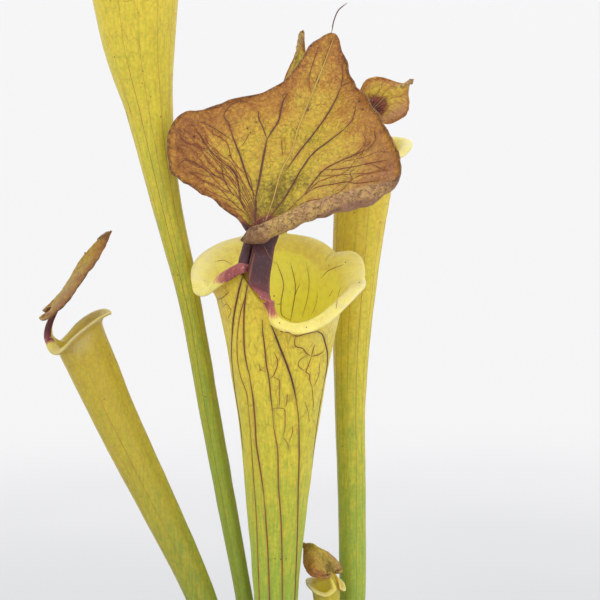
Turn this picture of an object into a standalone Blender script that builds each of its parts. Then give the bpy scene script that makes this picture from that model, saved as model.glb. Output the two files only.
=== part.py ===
"""A yellow pitcher plant in a plain nursery pot.

Six hollow pitcher leaves rise from one crown in a pot of peat. Each leaf is one thin sheet:
a tube that widens upwards, a rolled lip, a neck at the back and a hood spread over the mouth.

Lengths are in millimetres in the tables and are scaled to metres at the end of each shape.
The origin is the centre of the pot's underside, +Z is up, and +Y is away from the front view.
"""

import math

import bmesh
import bpy
import numpy as np
from mathutils import Vector, noise

MM = 0.001

# Pot: a turned thermoformed nursery pot.
POT_HEIGHT = 124.0
POT_BASE_RADIUS = 48.0
POT_TOP_RADIUS = 63.0
POT_WALL = 1.6
POT_FLOOR = 3.0
POT_RIM_RADIUS = 69.0
POT_RIM_DEPTH = 17.0
POT_FOOT_RADIUS = 5.0
POT_TURN_STEPS = 40
DRAIN_HOLES = 8
DRAIN_HOLE_RADIUS = 4.5
DRAIN_CIRCLE_RADIUS = 35.0

# Peat filling.
SOIL_TOP = 111.0
SOIL_GAP = 0.4
SOIL_RINGS = 6
SOIL_SIDES = 36
SOIL_ROUGHNESS = 1.6

# Crown: the rhizome's growing end, half sunk in the peat.
CROWN_CENTRE = (-0.5, 1.5, 107.0)
CROWN_HALF_SIZE = (31.0, 19.5, 12.5)
CROWN_LUMPS = 0.108
HOLE_GAP = 0.35

# One pitcher's sheet.
WALL = 0.9
BASE_HEIGHT = 105.0
STRAP_ANGLE = 9.0
PROW_RISE = 0.16
PROW_SPREAD = 24.0
RIM_BLEND = 55.0
NECK_LIFT = 20.0
HOOD_HALF_WIDTH = 48.0
SEAT_TOP = 122.0

# Rim of the mouth: angle from the back, clockwise from above being left, with the height of the
# throat's edge over the mouth's centre, the width of the lip and the angle that it turns through.
FRONT_RIM = (
    (9.0, -1.0, 12.0, 135.0),
    (15.0, -7.0, 11.5, 150.0),
    (26.0, -11.5, 11.0, 155.0),
    (51.0, -12.5, 11.0, 150.0),
    (64.0, -10.5, 11.5, 135.0),
    (80.0, -7.0, 12.0, 110.0),
    (95.0, -4.0, 12.5, 98.0),
    (112.0, -3.0, 12.0, 95.0),
    (130.0, -1.5, 12.0, 92.0),
    (150.0, 4.5, 14.0, 82.0),
    (169.0, 4.0, 13.0, 88.0),
    (184.0, 9.0, 13.0, 85.0),
    (205.0, 11.0, 13.0, 85.0),
    (237.0, 9.0, 13.5, 82.0),
    (267.0, 3.0, 14.5, 80.0),
    (290.0, -3.0, 14.5, 82.0),
    (308.0, -3.0, 13.0, 105.0),
    (322.0, 1.5, 10.0, 180.0),
    (336.0, 7.5, 8.5, 215.0),
    (351.0, 12.5, 8.0, 225.0),
)
PLAIN_RIM = (
    (9.0, 4.0, 9.0, 200.0),
    (20.0, -2.0, 10.0, 180.0),
    (40.0, -8.0, 11.0, 165.0),
    (65.0, -7.0, 12.0, 140.0),
    (95.0, -2.0, 14.0, 105.0),
    (130.0, 3.0, 14.0, 95.0),
    (160.0, 3.0, 15.0, 100.0),
    (180.0, 1.0, 17.0, 110.0),
    (200.0, 3.0, 15.0, 100.0),
    (230.0, 3.0, 14.0, 95.0),
    (265.0, -2.0, 14.0, 105.0),
    (295.0, -7.0, 12.0, 140.0),
    (320.0, -8.0, 11.0, 165.0),
    (340.0, -2.0, 10.0, 180.0),
    (351.0, 4.0, 9.0, 200.0),
)

# Neck: points up its middle (right, front, up from the mouth's centre) and its half width.
FRONT_NECK = (
    (0.2, -26.4, 7.5, 4.3),
    (0.3, -23.2, 14.3, 4.4),
    (0.1, -18.7, 20.8, 4.6),
    (0.0, -14.0, 28.0, 5.0),
)
PLAIN_NECK = (
    (0.0, -26.6, 9.0, 4.3),
    (0.0, -24.2, 16.0, 4.3),
    (0.0, -19.5, 23.0, 4.5),
    (0.0, -13.5, 29.5, 4.8),
)

# Hood: its outline from the left lobe over the point to the right lobe. Each row gives the place
# across the leaf (-1 to 1), right, front, up, and the width and turn of the rolled margin.
FRONT_HOOD = (
    (-1.00, -45.0, -12.2, 50.5, 3.5, 75.0),
    (-0.90, -47.6, -10.2, 59.6, 3.5, 70.0),
    (-0.78, -47.9, -7.0, 68.6, 3.0, 65.0),
    (-0.67, -45.2, -2.3, 73.8, 3.0, 60.0),
    (-0.56, -38.0, 5.4, 75.2, 3.0, 55.0),
    (-0.44, -28.4, 14.3, 78.9, 3.0, 55.0),
    (-0.33, -18.3, 23.5, 82.5, 2.8, 50.0),
    (-0.24, -11.3, 31.1, 87.4, 2.5, 50.0),
    (-0.16, -8.5, 39.0, 95.2, 2.2, 45.0),
    (-0.08, -6.6, 46.3, 101.6, 1.8, 40.0),
    (0.00, -0.9, 58.1, 107.2, 1.4, 30.0),
    (0.07, 4.2, 54.6, 99.6, 1.8, 40.0),
    (0.16, 12.9, 45.7, 87.5, 2.5, 50.0),
    (0.25, 23.6, 36.4, 80.6, 2.8, 55.0),
    (0.34, 36.6, 25.9, 70.3, 3.0, 60.0),
    (0.43, 45.1, 17.7, 62.8, 3.5, 65.0),
    (0.50, 51.3, 10.7, 56.1, 4.0, 80.0),
    (0.57, 53.6, 4.0, 48.9, 4.5, 100.0),
    (0.64, 50.6, -1.8, 45.2, 5.5, 130.0),
    (0.71, 42.8, -7.6, 42.6, 6.5, 150.0),
    (0.78, 33.5, -14.2, 39.1, 7.5, 165.0),
    (0.86, 22.3, -20.5, 33.4, 8.5, 170.0),
    (0.93, 12.5, -26.1, 28.5, 8.0, 150.0),
    (1.00, 1.0, -30.6, 24.4, 5.0, 80.0),
)
PLAIN_HOOD_HALF = (
    (0.00, 0.0, 58.5, 107.0, 1.6, 30.0),
    (0.07, 4.6, 53.5, 99.5, 2.0, 45.0),
    (0.20, 15.0, 46.0, 89.0, 2.8, 60.0),
    (0.36, 29.0, 34.0, 80.0, 3.2, 75.0),
    (0.52, 42.0, 18.0, 68.0, 3.6, 85.0),
    (0.68, 48.0, 1.0, 54.0, 4.0, 95.0),
    (0.82, 42.0, -15.0, 42.0, 4.5, 110.0),
    (0.92, 29.0, -24.0, 34.0, 5.0, 125.0),
    (1.00, 15.0, -26.0, 28.5, 5.0, 130.0),
)

# The margin up each side, from the throat (0) over the top of the neck (0.33) to the hood's corner
# (1): the width of the roll, the angle that it turns through and the part of its width that bends.
FRONT_LEFT_SIDE = (
    (0.00, 8.0, 225.0, 1.0),
    (0.20, 7.5, 220.0, 1.0),
    (0.36, 4.0, 150.0, 1.0),
    (0.50, 3.5, 90.0, 1.0),
    (1.00, 3.5, 75.0, 1.0),
)
FRONT_RIGHT_SIDE = (
    (0.00, 12.0, 140.0, 0.6),
    (0.10, 12.0, 150.0, 0.35),
    (0.20, 11.5, 150.0, 0.35),
    (0.27, 8.5, 140.0, 0.4),
    (0.33, 1.5, 60.0, 1.0),
    (0.80, 1.0, 30.0, 1.0),
    (1.00, 2.0, 40.0, 1.0),
)
PLAIN_SIDE = (
    (0.00, 9.0, 200.0, 1.0),
    (0.11, 6.0, 175.0, 1.0),
    (0.22, 4.0, 140.0, 1.0),
    (0.33, 1.6, 80.0, 1.0),
    (0.60, 1.6, 60.0, 1.0),
    (1.00, 4.0, 100.0, 1.0),
)

# How far a line from the neck to the outline bows out at its middle: place across, right, front, up.
FRONT_BOW = (
    (-1.00, 1.5, 0.0, 1.5),
    (-0.70, 1.0, 1.0, 1.0),
    (-0.35, 0.0, 2.0, 1.0),
    (0.00, 0.0, 0.0, 0.0),
    (0.30, 0.0, 2.0, 1.0),
    (0.60, 1.0, 1.0, -2.0),
    (0.80, 3.0, -1.0, 0.0),
    (0.92, 3.0, 0.0, 1.0),
    (1.00, 4.0, -1.0, 0.0),
)
PLAIN_BOW_HALF = (
    (0.00, 0.0, 0.0, 2.0),
    (0.40, 2.0, 3.0, 4.0),
    (0.75, 5.0, 0.0, 3.0),
    (1.00, 8.0, -1.0, 2.0),
)

# Spines run from the base to above the mouth: height, x, y and half width.
FRONT_SPINE = (
    (105.0, -11.6, -7.0, 4.8),
    (119.0, -11.6, -7.0, 4.8),
    (129.0, -11.6, -7.0, 5.1),
    (151.0, -11.4, -7.1, 6.1),
    (191.0, -11.0, -7.4, 8.0),
    (226.0, -10.7, -7.8, 9.9),
    (249.7, -10.4, -8.2, 11.9),
    (268.5, -10.0, -8.6, 13.7),
    (287.2, -9.6, -9.0, 15.5),
    (306.0, -9.1, -9.4, 17.9),
    (324.8, -9.0, -9.7, 20.9),
    (338.7, -8.8, -10.0, 23.4),
    (351.0, -8.6, -10.0, 26.0),
    (361.0, -8.6, -10.0, 28.2),
    (375.0, -8.6, -10.0, 31.0),
)
TALL_LEFT_SPINE = (
    (105.0, -13.0, 10.0, 3.7),
    (119.0, -13.0, 10.0, 3.7),
    (129.0, -13.0, 10.0, 3.7),
    (169.0, -19.3, 10.0, 3.7),
    (216.0, -25.2, 10.3, 3.8),
    (262.0, -33.2, 11.3, 4.2),
    (307.0, -41.2, 13.5, 4.6),
    (352.0, -49.0, 16.3, 4.9),
    (396.0, -59.2, 19.4, 6.6),
    (418.0, -63.4, 20.8, 8.2),
    (440.0, -66.8, 22.0, 11.0),
    (462.0, -70.2, 23.0, 15.4),
    (483.0, -71.6, 23.8, 18.6),
    (503.0, -72.3, 24.0, 21.6),
    (516.0, -72.6, 24.0, 24.0),
)
RIGHT_SPINE = (
    (105.0, 18.5, 5.0, 3.8),
    (119.0, 18.5, 5.0, 3.8),
    (129.0, 18.5, 5.0, 3.9),
    (168.0, 21.6, 11.0, 4.8),
    (213.0, 23.8, 18.0, 5.9),
    (258.0, 23.6, 26.0, 6.3),
    (303.0, 22.8, 33.5, 7.1),
    (348.0, 24.3, 40.5, 9.7),
    (386.0, 27.3, 45.0, 12.1),
    (404.0, 29.2, 47.0, 13.4),
    (415.0, 30.6, 48.0, 14.4),
    (426.0, 31.8, 49.0, 15.6),
)
REAR_SPINE = (
    (105.0, -4.0, 4.0, 3.6),
    (119.0, -4.0, 4.0, 3.6),
    (129.0, -4.0, 4.0, 3.7),
    (160.0, -6.0, 8.0, 3.9),
    (214.0, -10.0, 16.0, 4.6),
    (281.0, -12.7, 28.5, 5.8),
    (334.0, -13.8, 40.0, 6.6),
    (376.0, -13.6, 48.5, 7.2),
    (390.0, -11.5, 51.0, 9.4),
    (400.0, -10.0, 52.5, 11.8),
    (410.0, -9.2, 54.0, 13.4),
    (420.0, -8.7, 55.0, 14.8),
)
LOW_LEFT_SPINE = (
    (105.0, -21.0, 1.0, 3.6),
    (119.0, -21.0, 1.0, 3.6),
    (129.0, -21.0, 1.0, 3.7),
    (171.0, -30.0, 1.5, 4.8),
    (219.0, -44.4, 1.0, 6.1),
    (265.0, -64.5, 0.0, 7.8),
    (288.0, -75.2, -0.5, 8.6),
    (311.0, -85.4, -1.0, 9.3),
    (330.0, -93.0, -1.5, 10.4),
    (340.0, -96.6, -2.0, 11.3),
    (350.0, -99.8, -2.3, 12.4),
)
SMALL_SPINE = (
    (105.0, 10.0, -4.0, 3.6),
    (119.0, 10.0, -4.0, 3.6),
    (129.0, 10.0, -4.0, 3.6),
    (172.0, 12.3, 0.3, 3.9),
    (199.0, 12.6, 1.8, 4.5),
    (213.0, 12.2, 2.0, 5.4),
    (224.0, 11.6, 2.1, 6.4),
    (231.0, 11.3, 2.2, 7.2),
)

# Columns round the tube, as angles from the back, and the other counts of a leaf's sheet.
FINE_ANGLES = (
    -9.0, -4.5, 0.0, 4.5, 9.0, 15.0, 24.0, 36.0, 50.0, 64.0, 78.0, 92.0, 106.0, 120.0, 136.0,
    152.0, 167.0, 180.0, 194.0, 210.0, 227.0, 244.0, 261.0, 278.0, 294.0, 309.0, 322.0, 333.0, 343.0,
)
PLAIN_ANGLES = (
    -9.0, 0.0, 9.0, 24.0, 46.0, 74.0, 104.0, 134.0, 160.0, 180.0,
    200.0, 226.0, 256.0, 286.0, 314.0, 336.0,
)
FINE_PLACES = (
    -1.0, -0.89, -0.78, -0.67, -0.56, -0.44, -0.33, -0.24, -0.16, -0.08, 0.0, 0.07, 0.16, 0.25,
    0.34, 0.43, 0.51, 0.58, 0.65, 0.72, 0.79, 0.86, 0.93, 1.0,
)
PLAIN_PLACES = (-1.0, -0.84, -0.66, -0.46, -0.25, -0.1, 0.0, 0.1, 0.25, 0.46, 0.66, 0.84, 1.0)
FINE = {
    "angles": FINE_ANGLES, "places": FINE_PLACES,
    "tube_rows": 13, "neck_rows": 5, "hood_rows": 8, "lip_rows": 5,
}
PLAIN = {
    "angles": PLAIN_ANGLES, "places": PLAIN_PLACES,
    "tube_rows": 10, "neck_rows": 3, "hood_rows": 5, "lip_rows": 3,
}

# Colours (linear) and finishes.
POT_COLOUR = (0.028, 0.026, 0.025, 1.0)
SOIL_COLOUR = (0.055, 0.032, 0.018, 1.0)
CROWN_COLOUR = (0.16, 0.085, 0.035, 1.0)
LEAF_COLOUR = (0.50, 0.47, 0.09, 1.0)


def both_sides(half, mirrored):
    """A table for both halves of a leaf from the rows of its right half."""
    left = []
    for row in reversed(half[1:]):
        flipped = list(row)
        for column in mirrored:
            flipped[column] = -flipped[column]
        left.append(tuple(flipped))
    return tuple(left) + tuple(half)


PLAIN_HOOD = both_sides(PLAIN_HOOD_HALF, (0, 1))
PLAIN_BOW = both_sides(PLAIN_BOW_HALF, (0, 1))

FRONT_FORM = {
    "rim": FRONT_RIM, "neck": FRONT_NECK, "hood": FRONT_HOOD, "bow": FRONT_BOW,
    "sides": (FRONT_LEFT_SIDE, FRONT_RIGHT_SIDE),
}
PLAIN_FORM = {
    "rim": PLAIN_RIM, "neck": PLAIN_NECK, "hood": PLAIN_HOOD, "bow": PLAIN_BOW,
    "sides": (PLAIN_SIDE, PLAIN_SIDE),
}

# Facing is the heading of the mouth's front, in degrees clockwise from +Y, and size scales the
# mouth and neck. The hood is scaled again, also across, arched along its middle, drooped at its
# sides, rolled to the right, turned about the neck and tipped down over the mouth.
LEAVES = {
    "pitcher_front": {
        "spine": FRONT_SPINE, "mouth": 361.0, "facing": 25.0, "size": 1.0,
        "hood_size": 1.0, "hood_tip": 0.0, "hood_turn": 0.0, "hood_roll": 0.0, "hood_width": 1.0,
        "hood_arch": 0.0, "hood_droop": 0.0,
        "form": FRONT_FORM, "counts": FINE,
    },
    "pitcher_tall_left": {
        "spine": TALL_LEFT_SPINE, "mouth": 503.0, "facing": 165.0, "size": 0.80,
        "hood_size": 1.0, "hood_tip": 14.0, "hood_turn": 0.0, "hood_roll": 0.0, "hood_width": 1.0,
        "hood_arch": 7.0, "hood_droop": 8.0,
        "form": PLAIN_FORM, "counts": PLAIN,
    },
    "pitcher_right": {
        "spine": RIGHT_SPINE, "mouth": 416.0, "facing": 14.0, "size": 0.52,
        "hood_size": 0.47, "hood_tip": -18.0, "hood_turn": 5.0, "hood_roll": 40.0, "hood_width": 0.95,
        "hood_arch": 12.0, "hood_droop": -16.0,
        "form": PLAIN_FORM, "counts": PLAIN,
    },
    "pitcher_rear": {
        "spine": REAR_SPINE, "mouth": 400.0, "facing": -10.0, "size": 0.46,
        "hood_size": 1.15, "hood_tip": -45.0, "hood_turn": 30.0, "hood_roll": 3.0, "hood_width": 0.3,
        "hood_arch": 7.0, "hood_droop": 8.0,
        "form": PLAIN_FORM, "counts": PLAIN,
    },
    "pitcher_low_left": {
        "spine": LOW_LEFT_SPINE, "mouth": 340.0, "facing": 88.0, "size": 0.43,
        "hood_size": 0.95, "hood_tip": 10.0, "hood_turn": 0.0, "hood_roll": 0.0, "hood_width": 1.0,
        "hood_arch": 7.0, "hood_droop": 8.0,
        "form": PLAIN_FORM, "counts": PLAIN,
    },
    "pitcher_small": {
        "spine": SMALL_SPINE, "mouth": 224.0, "facing": -40.0, "size": 0.24,
        "hood_size": 0.74, "hood_tip": 10.0, "hood_turn": -12.0, "hood_roll": 0.0, "hood_width": 1.15,
        "hood_arch": 28.0, "hood_droop": 8.0,
        "form": PLAIN_FORM, "counts": PLAIN,
    },
}


def smooth(knots, values, at):
    """Values read from one smooth curve through the knots."""
    knots = np.asarray(knots, float)
    values = np.asarray(values, float).reshape(len(knots), -1)
    at = np.clip(np.atleast_1d(np.asarray(at, float)), knots[0], knots[-1])
    slopes = np.gradient(values, knots, axis=0)
    index = np.clip(np.searchsorted(knots, at, side="right") - 1, 0, len(knots) - 2)
    width = (knots[index + 1] - knots[index])[:, None]
    t = (at - knots[index])[:, None] / width
    start, end = values[index], values[index + 1]
    leave, arrive = slopes[index] * width, slopes[index + 1] * width
    near = (2 * t**3 - 3 * t**2 + 1) * start + (t**3 - 2 * t**2 + t) * leave
    return near + (3 * t**2 - 2 * t**3) * end + (t**3 - t**2) * arrive


def from_table(table, at):
    """The columns after the first of a table, read smoothly at places in its first column."""
    table = np.asarray(table, float)
    return smooth(table[:, 0], table[:, 1:], at)


def unit(vectors):
    return vectors / np.maximum(np.linalg.norm(vectors, axis=-1, keepdims=True), 1e-9)


def ramp(t):
    """A soft step from 0 to 1."""
    t = np.clip(t, 0.0, 1.0)
    return t * t * (3.0 - 2.0 * t)


def spine_frames(leaf, heights):
    """Centres, half widths and the right, front and up directions of the tube at some heights."""
    heights = np.asarray(heights, float)
    place = from_table(leaf["spine"], heights)
    step = 1.0
    above = np.clip(heights + step, None, leaf["spine"][-1][0])
    below = np.clip(heights - step, leaf["spine"][0][0], None)
    shift = from_table(leaf["spine"], above)[:, :2] - from_table(leaf["spine"], below)[:, :2]
    up = unit(np.column_stack([shift, above - below]))
    heading = math.radians(leaf["facing"])
    right = np.array([math.cos(heading), -math.sin(heading), 0.0])
    right = unit(right - (up @ right)[:, None] * up)
    front = np.cross(up, right)
    centre = np.column_stack([place[:, 0], place[:, 1], heights])
    return centre, place[:, 2], right, front, up


def tube_points(leaf, angles, heights):
    """Points of the tube's outer face, one for each pair of angle and height."""
    centre, radius, right, front, _ = spine_frames(leaf, heights)
    angles = np.asarray(angles, float)
    turn = np.radians(angles)[:, None]
    off_front = np.abs((angles % 360.0) - 180.0)
    fade = ramp((heights - BASE_HEIGHT - 15.0) / 40.0) * ramp((leaf["mouth"] + 4.0 - heights) / 25.0)
    radius = radius * (1.0 + PROW_RISE * fade * np.exp(-((off_front / PROW_SPREAD) ** 2)))
    return centre + radius[:, None] * (np.sin(turn) * right - np.cos(turn) * front)


def leaf_frame(leaf):
    """Origin and axes of the leaf's own frame, at the mouth's centre."""
    centre, _, right, front, up = spine_frames(leaf, np.array([leaf["mouth"]]))
    return centre[0], np.stack([right[0], front[0], up[0]])


def hood_rotation(leaf):
    """The hood's turn about the top of its neck: tipped forward, turned to its heading, then rolled."""
    tip, turn, roll = (math.radians(leaf[name]) for name in ("hood_tip", "hood_turn", "hood_roll"))
    forward = np.array([
        [1.0, 0.0, 0.0],
        [0.0, math.cos(tip), -math.sin(tip)],
        [0.0, math.sin(tip), math.cos(tip)],
    ])
    sideways = np.array([
        [math.cos(turn), -math.sin(turn), 0.0],
        [math.sin(turn), math.cos(turn), 0.0],
        [0.0, 0.0, 1.0],
    ])
    leaning = np.array([
        [math.cos(roll), 0.0, -math.sin(roll)],
        [0.0, 1.0, 0.0],
        [math.sin(roll), 0.0, math.cos(roll)],
    ])
    return forward @ sideways @ leaning


def hood_outline(leaf, places):
    """The hood's outline in leaf coordinates, drawn in by the reach of its rolled margin."""
    table = from_table(leaf["form"]["hood"], places)
    pivot = np.array(leaf["form"]["neck"][-1][:3])
    way = unit(table[:, :3] - pivot)
    along = unit(np.gradient(table[:, :3], axis=0))
    way = unit(way - np.sum(way * along, axis=1, keepdims=True) * along)
    turn = np.radians(table[:, 4])
    reach = table[:, 3] / turn * np.sin(np.minimum(turn, math.pi / 2.0))
    outline = table[:, :3] - reach[:, None] * way
    outline[:, 2] -= leaf["hood_droop"] * (outline[:, 0] / HOOD_HALF_WIDTH) ** 2
    outline[:, 0] *= leaf["hood_width"]
    return pivot + leaf["hood_size"] * (outline - pivot) @ hood_rotation(leaf), table[:, 3:]


class Sheet:
    """Points and triangles gathered row by row."""

    def __init__(self):
        self.points = []
        self.faces = []

    def row(self, points):
        first = len(self.points)
        self.points.extend(np.asarray(points, float))
        return list(range(first, first + len(points)))

    def strip(self, low, high):
        """Two triangles between each pair of neighbours of two equal rows."""
        for k in range(len(low) - 1):
            self.faces.append((low[k], low[k + 1], high[k + 1]))
            self.faces.append((low[k], high[k + 1], high[k]))

    def zipper(self, low, high):
        """Triangles between two rows that differ in length."""
        i = j = 0
        while i < len(low) - 1 or j < len(high) - 1:
            next_low = (i + 1) / (len(low) - 1)
            next_high = (j + 1) / (len(high) - 1)
            if j == len(high) - 1 or (i < len(low) - 1 and next_low <= next_high):
                self.faces.append((low[i], low[i + 1], high[j]))
                i += 1
            else:
                self.faces.append((low[i], high[j + 1], high[j]))
                j += 1

    def normals(self):
        points = np.array(self.points)
        faces = np.array(self.faces)
        corners = points[faces]
        face_normals = np.cross(corners[:, 1] - corners[:, 0], corners[:, 2] - corners[:, 0])
        total = np.zeros_like(points)
        for k in range(3):
            np.add.at(total, faces[:, k], face_normals)
        return unit(total)


def add_tube(sheet, leaf):
    """The closed base and the tube up to the throat. Returns the throat's row."""
    angles = np.array(leaf["counts"]["angles"])
    edge = from_table(leaf["form"]["rim"], angles % 360.0)[:, 0]
    back = (angles % 360.0 < STRAP_ANGLE) | (angles % 360.0 > 360.0 - STRAP_ANGLE)
    left_edge = from_table(leaf["form"]["rim"], [360.0 - STRAP_ANGLE])[0, 0]
    right_edge = from_table(leaf["form"]["rim"], [STRAP_ANGLE])[0, 0]
    signed = (angles + 180.0) % 360.0 - 180.0
    across = 0.5 + 0.5 * signed / STRAP_ANGLE
    edge = np.where(back, left_edge + (right_edge - left_edge) * across, edge) * leaf["size"]
    rise = 1.0 - (1.0 - np.linspace(0.0, 1.0, leaf["counts"]["tube_rows"])) ** 1.25
    levels = [BASE_HEIGHT, *(SEAT_TOP + (leaf["mouth"] - SEAT_TOP) * rise)]
    last = None
    blend = RIM_BLEND * leaf["size"]
    for level in levels:
        heights = level + edge * ramp((level - leaf["mouth"] + blend) / blend)
        ring = sheet.row(tube_points(leaf, angles, heights))
        if last:
            sheet.strip(last, ring)
            sheet.strip([last[-1], last[0]], [ring[-1], ring[0]])
        else:
            centre = sheet.row([spine_frames(leaf, np.array([BASE_HEIGHT]))[0][0]])[0]
            for a, b in zip(ring, ring[1:] + ring[:1]):
                sheet.faces.append((b, a, centre))
        last = ring
    return last


def add_neck_and_hood(sheet, leaf, throat):
    """The strap up the back and the hood fanned out from its top. Returns their rows."""
    counts, form, size = leaf["counts"], leaf["form"], leaf["size"]
    origin, axes = leaf_frame(leaf)
    strap = [k for k, angle in enumerate(counts["angles"]) if abs(angle) <= STRAP_ANGLE]
    strap_row = [throat[k] for k in strap]
    ends = np.array([sheet.points[strap_row[0]], sheet.points[strap_row[-1]]])
    middle = (ends.mean(axis=0) - origin) @ axes.T / size
    path = np.vstack([[middle[0], middle[1], middle[2], form["neck"][0][3]], form["neck"]])
    place = np.array(counts["places"])
    base = np.interp(place, [-1.0, 1.0], [0.0, 1.0])[:, None] * (ends[1] - ends[0]) + ends[0]

    rows = []
    last = strap_row
    steps = np.linspace(0.0, len(path) - 1.0, counts["neck_rows"] + 1)
    for k, step in enumerate(steps[1:], start=1):
        s, f, u, half = smooth(np.arange(len(path)), path, [step])[0]
        middle_point = origin + size * np.array([s, f, u]) @ axes
        level = middle_point + (place * half * size)[:, None] * axes[0]
        start = origin + size * path[0, :3] @ axes + (place * path[0, 3] * size)[:, None] * axes[0]
        level = level + (base - start) * (1.0 - k / counts["neck_rows"]) ** 2
        row = sheet.row(level)
        if len(last) == len(row):
            sheet.strip(last, row)
        else:
            sheet.zipper(last, row)
        rows.append(row)
        last = row

    top = np.array([sheet.points[k] for k in last])
    direction = unit((np.array(path[-1, :3]) - np.array(path[-2, :3])) @ axes)
    outline = hood_outline(leaf, place)[0] * size @ axes + origin
    arch = (1.0 - place**2)[:, None] * np.array([0.0, -0.4, 1.0]) * leaf["hood_arch"]
    bow = (from_table(form["bow"], place) + arch) @ hood_rotation(leaf) * size * leaf["hood_size"] @ axes
    lift = NECK_LIFT * size * leaf["hood_size"] * (1.0 - np.abs(place[:, None])) ** 0.5 * direction
    for k in range(1, counts["hood_rows"] + 1):
        t = k / counts["hood_rows"]
        level = top + (outline - top) * t + bow * 4.0 * t * (1.0 - t) + lift * 4.0 * t * (1.0 - t) ** 3
        row = sheet.row(level)
        sheet.strip(last, row)
        rows.append(row)
        last = row
    return rows


def margin_loop(leaf, throat, rows):
    """The sheet's free edge as one closed loop of point, width, turn and bending part."""
    counts, form = leaf["counts"], leaf["form"]
    angles = counts["angles"]
    first = angles.index(STRAP_ANGLE)
    rim_angles = list(angles[first:]) + [360.0 - STRAP_ANGLE]
    rim_points = list(throat[first:]) + [throat[0]]
    rim = from_table(form["rim"], rim_angles)[:, 1:]
    loop = [(point, width, turn, 1.0) for point, (width, turn) in zip(rim_points, rim)]

    def side(column, table):
        """The margin up one side, from the throat to the hood's corner."""
        neck = np.linspace(0.0, 0.33, counts["neck_rows"] + 1)[1:]
        hood = np.linspace(0.33, 1.0, counts["hood_rows"] + 1)[1:-1]
        values = from_table(table, np.concatenate([neck, hood]))
        return [(row[column], *value) for row, value in zip(rows, values)]

    edge = hood_outline(leaf, np.array(counts["places"]))[1]
    loop += side(0, form["sides"][0])
    loop += [(point, width * leaf["hood_size"], turn, 1.0) for point, (width, turn) in zip(rows[-1], edge)]
    loop += reversed(side(-1, form["sides"][1]))
    return loop


def add_margin(sheet, leaf, loop):
    """The rolled lip and margins: a band that turns outward from the sheet's free edge."""
    rows = leaf["counts"]["lip_rows"]
    index = [entry[0] for entry in loop]
    width = np.array([entry[1] for entry in loop]) * leaf["size"]
    turn = np.radians([entry[2] for entry in loop])
    bending = np.array([entry[3] for entry in loop])
    normal = sheet.normals()[index]
    place = np.array(sheet.points)[index]
    along = unit(np.roll(place, -1, axis=0) - place)
    along = unit(along + np.roll(along, 1, axis=0))
    normal = unit(normal + 0.5 * np.roll(normal, 1, axis=0) + 0.5 * np.roll(normal, -1, axis=0))
    normal = unit(normal - np.sum(normal * along, axis=1, keepdims=True) * along)
    outward = np.cross(normal, along)
    last = index + index[:1]
    for k in range(rows):
        angle = (turn * np.minimum(1.0, (k + 0.5) / rows / bending))[:, None]
        place = place + (width / rows)[:, None] * (np.cos(angle) * outward + np.sin(angle) * normal)
        row = sheet.row(place)
        row = row + row[:1]
        sheet.strip(last, row)
        last = row


def clear_scene():
    for thing in list(bpy.data.objects):
        bpy.data.objects.remove(thing, do_unlink=True)


def new_collection(name):
    collection = bpy.data.collections.new(name)
    bpy.context.scene.collection.children.link(collection)
    return collection


def material(name, colour, roughness):
    made = bpy.data.materials.new(name)
    made.use_nodes = True
    shader = made.node_tree.nodes["Principled BSDF"]
    shader.inputs["Base Color"].default_value = colour
    shader.inputs["Roughness"].default_value = roughness
    shader.inputs["Metallic"].default_value = 0.0
    return made


def mesh_object(name, points, faces, collection, finish=None):
    mesh = bpy.data.meshes.new(name)
    mesh.from_pydata([tuple(point) for point in points], [], faces)
    mesh.validate()
    made = bpy.data.objects.new(name, mesh)
    collection.objects.link(made)
    if finish:
        mesh.materials.append(finish)
    return made


def cut(target, cutter):
    cutter.hide_render = True
    cutter.display_type = "WIRE"
    modifier = target.modifiers.new("cut_" + cutter.name, "BOOLEAN")
    modifier.operation = "DIFFERENCE"
    modifier.object = cutter


def pot_inner_radius(height):
    """Radius of the pot's inner wall at a height over the underside."""
    share = (height - POT_FLOOR) / (POT_HEIGHT - POT_FLOOR)
    return POT_BASE_RADIUS + (POT_TOP_RADIUS - POT_BASE_RADIUS) * share - POT_WALL


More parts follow.
